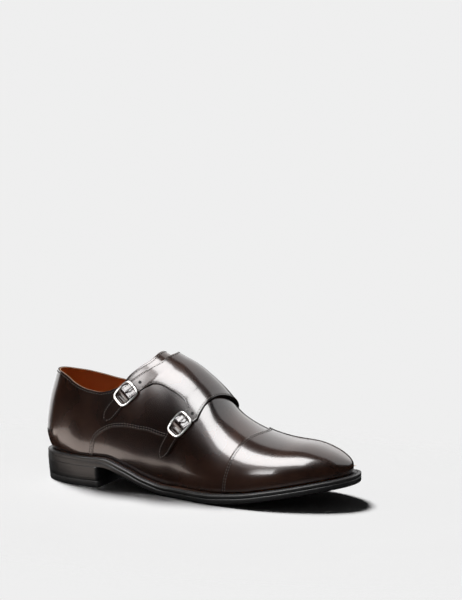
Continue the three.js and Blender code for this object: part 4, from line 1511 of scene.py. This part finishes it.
# %% Strap holes
HOLES_AT = {"rear": (0.355, -0.493), "front": (0.526, -0.492)}
HOLE_RADIUS, HOLE_RIM, HOLE_PROUD, HOLE_SUNK = 1.5, 0.35, 0.14, 0.08
ABOVE_SKIN = 1.5
hole_shades = bmesh.new()
for name, place in HOLES_AT.items():
    to_share = CHARTS[name]
    offset = to_share(0, 0)
    steps = np.array([np.subtract(to_share(1, 0), offset), np.subtract(to_share(0, 1), offset)])
    u = (np.linalg.inv(steps.T) @ np.subtract(place, offset))[0]
    above = surface(*to_share(np.array([u]), np.zeros(1)), FULL_LIFT + ABOVE_SKIN)[0][0]
    _, spot, up, _ = wing.closest_point_on_mesh(Vector(to_frame(above)))
    turn_up = up.to_track_quat("Z", "Y").to_matrix().to_4x4()
    # painted shade: a dark disc stands for the shaded inside of the hole
    made = bmesh.ops.create_circle(
        hole_shades, cap_ends=True, segments=20, radius=HOLE_RADIUS * MM,
        matrix=Matrix.Translation(spot + up * HOLE_PROUD * MM) @ turn_up)
    face = next(f for f in made["verts"][0].link_faces)
    bmesh.ops.inset_region(hole_shades, faces=[face], thickness=HOLE_RIM * MM)
    bmesh.ops.translate(hole_shades, verts=face.verts[:], vec=up * -HOLE_SUNK * MM)
    print(name, "hole at", [round(c / MM, 1) for c in spot])
bmesh.ops.recalc_face_normals(hole_shades, faces=hole_shades.faces[:])
keep(hole_shades, "strap_hole_shades", hole_shade_look)

# %% [markdown]
# ## Floor
# The floor is a plain pale sheet that fades out into the equally pale background, so no horizon
# shows. It could be a curved studio backdrop, but a flat sheet with a soft edge needs no tuning. It
# is hidden from reflections, because a pale floor all round would fill the dark side of the
# polish; two small warm lamps of the next step bring back the little that is wanted there.

# %% Floor
FLOOR_CLEAR, FLOOR_GONE = 0.16, 0.34
FLOOR_SHAPE = (0.62, 1.0, 1.0)
FLOOR_HALF = 0.6
PALE_FLOOR, PALER_FLOOR = (0.80, 0.80, 0.80), (0.82, 0.82, 0.82)


def floor_finish():
    place = place_in_object(FLOOR_SHAPE)
    reach = Socket.node("ShaderNodeVectorMath", {"operation": "LENGTH"}, {0: place}, "Value")
    return {
        "Base Color": mix_colour(noise(6), PALE_FLOOR, PALER_FLOOR),
        "Alpha": 1 - reach.between(FLOOR_CLEAR, FLOOR_GONE),
    }


floor_look = finish("pale_floor", "floor", floor_finish, Roughness=1.0, Specular_IOR_Level=0.0)
floor_sheet = bmesh.new()
bmesh.ops.create_grid(floor_sheet, x_segments=1, y_segments=1, size=FLOOR_HALF)
floor_mesh = bpy.data.meshes.new("floor")
floor_sheet.to_mesh(floor_mesh)
floor_sheet.free()
floor = bpy.data.objects.new("floor", floor_mesh)
bpy.context.scene.collection.objects.link(floor)
floor_mesh.materials.append(floor_look)
floor.visible_glossy = False

# %% [markdown]
# ## World and light
# Polished leather shows what surrounds it, so the reflections are placed first. One large soft box
# overhead gives the long white bands, a wider faint one its halo, and two walls light the back. A
# small box near the camera's side and two warm glows just above the floor give the low, dim
# reflections on heel and quarter. All of these are seen only in reflections. The sun alone lights
# the leather itself and casts the soft shadow, and the world shows pale to the camera, almost black
# in reflections, and adds a faint fill.

# %% World
PALE, FILL, DARK = 0.862, 0.016, 0.004
world = bpy.data.worlds.new("studio")
bpy.context.scene.world = world
world.use_nodes = True
Socket.tree = world.node_tree
background = world.node_tree.nodes["Background"]
seen = Socket.node("ShaderNodeLightPath", output="Is Camera Ray")
mirrored = Socket.node("ShaderNodeLightPath", output="Is Glossy Ray")
unseen = mix_colour(mirrored, (FILL,) * 3, (DARK,) * 3)
Socket.feed(background.inputs["Color"], mix_colour(seen, unseen, (PALE,) * 3))
print("world nodes:", len(world.node_tree.nodes))


# %% Soft boxes round the shoe
def from_shoe(azimuth, elevation, distance):
    """A direction in degrees: azimuth 0 is the outer side and 90 the toe."""
    a, e = math.radians(azimuth), math.radians(elevation)
    return Vector((math.sin(a) * math.cos(e), -math.cos(a) * math.cos(e), math.sin(e))) * distance


def soft_box(name, spot, faces, size, radiance, colour=(1.0, 1.0, 1.0)):
    """A soft box seen only in reflections. Its power follows from its size and brightness."""
    data = bpy.data.lights.new(name, "AREA")
    data.shape = "RECTANGLE"
    data.size, data.size_y = size
    data.energy = radiance * math.pi * size[0] * size[1]
    data.color = colour
    light = bpy.data.objects.new(name, data)
    light.location = spot
    light.rotation_euler = Vector(faces).to_track_quat("-Z", "Y").to_euler()
    light.visible_diffuse = False
    light.visible_camera = False
    bpy.context.scene.collection.objects.link(light)
    print(f"{name}: {data.energy:.2f} W")
    return light


# Each row: name, azimuth, elevation and distance from the shoe, size in metres, brightness
BOXES = (
    ("key_box", (-2, 63, 1.2), (1.15, 0.72), 13),
    ("halo_box", (-8, 60, 1.35), (1.7, 1.3), 0.8),
    ("back_wall", (165, 44, 1.6), (4.0, 1.9), 1.5),
    ("heel_wall", (-125, 8, 1.2), (0.8, 0.7), 1.3),
)
for name, direction, size, radiance in BOXES:
    spot = from_shoe(*direction)
    soft_box(name, spot, -spot, size, radiance)

# %% Near box and floor glows
NEAR_SPOT, NEAR_AIM = Vector((-0.035, -0.318, 0.262)), Vector((-0.075, -0.036, 0.155))
NEAR_SPREAD = 44
near_box = soft_box("near_box", NEAR_SPOT, NEAR_AIM - NEAR_SPOT, (0.24, 0.26), 1.25)
near_box.data.spread = math.radians(NEAR_SPREAD)
WARM, UPWARD = (1.0, 0.86, 0.78), (math.pi, 0, 0)
GLOWS = (
    ("floor_glow", (-0.185, -0.101, 0.001), (0.19, 0.095), 2.7),
    ("heel_glow", (-0.325, -0.085, 0.001), (0.09, 0.16), 2.5),
)
for name, spot, size, radiance in GLOWS:
    glow = soft_box(name, spot, (0, 0, 1), size, radiance, WARM)
    glow.rotation_euler = UPWARD

# %% Sun
SUN_FROM, SUN_POWER, SUN_ANGLE = (-121, 58, 1), 3.84, 17
sun_data = bpy.data.lights.new("sun", "SUN")
sun_data.energy = SUN_POWER
sun_data.angle = math.radians(SUN_ANGLE)
sun = bpy.data.objects.new("sun", sun_data)
sun.rotation_euler = from_shoe(*SUN_FROM).to_track_quat("Z", "Y").to_euler()
sun.visible_glossy = False
bpy.context.scene.collection.objects.link(sun)
print("sun from azimuth and elevation:", SUN_FROM[:2])

# %% [markdown]
# ## Camera
# The camera stands where the picture was taken from. Its angle, distance and focal length were
# fitted to the shoe's outline, and a small shift puts the shoe low in the frame. The Standard view
# transform keeps whites white, where the default would grey the bright bands of the polish.

# %% Camera
FRAME_SIZE = (462, 600)
FOCAL_PX, CENTRE_PX = 1811.2, (197.4, 445.3)
AZIMUTH, ELEVATION, DISTANCE = 25.5, 11.5, 1600
TARGET = (149.0, 0.0, 40.0)
back = from_shoe(AZIMUTH, ELEVATION, 1)
camera_data = bpy.data.cameras.new("camera")
camera_data.sensor_fit = "HORIZONTAL"
camera_data.lens = camera_data.sensor_width * FOCAL_PX / FRAME_SIZE[0]
camera_data.shift_x = (FRAME_SIZE[0] / 2 - CENTRE_PX[0]) / FRAME_SIZE[0]
camera_data.shift_y = (CENTRE_PX[1] - FRAME_SIZE[1] / 2) / FRAME_SIZE[0]
camera = bpy.data.objects.new("camera", camera_data)
camera.location = Vector(to_frame(TARGET)) + back * DISTANCE * MM
camera.rotation_euler = (-back).to_track_quat("-Z", "Y").to_euler()
bpy.context.scene.collection.objects.link(camera)
bpy.context.scene.camera = camera
bpy.context.scene.view_settings.view_transform = "Standard"
print("lens in mm:", round(camera_data.lens, 1))
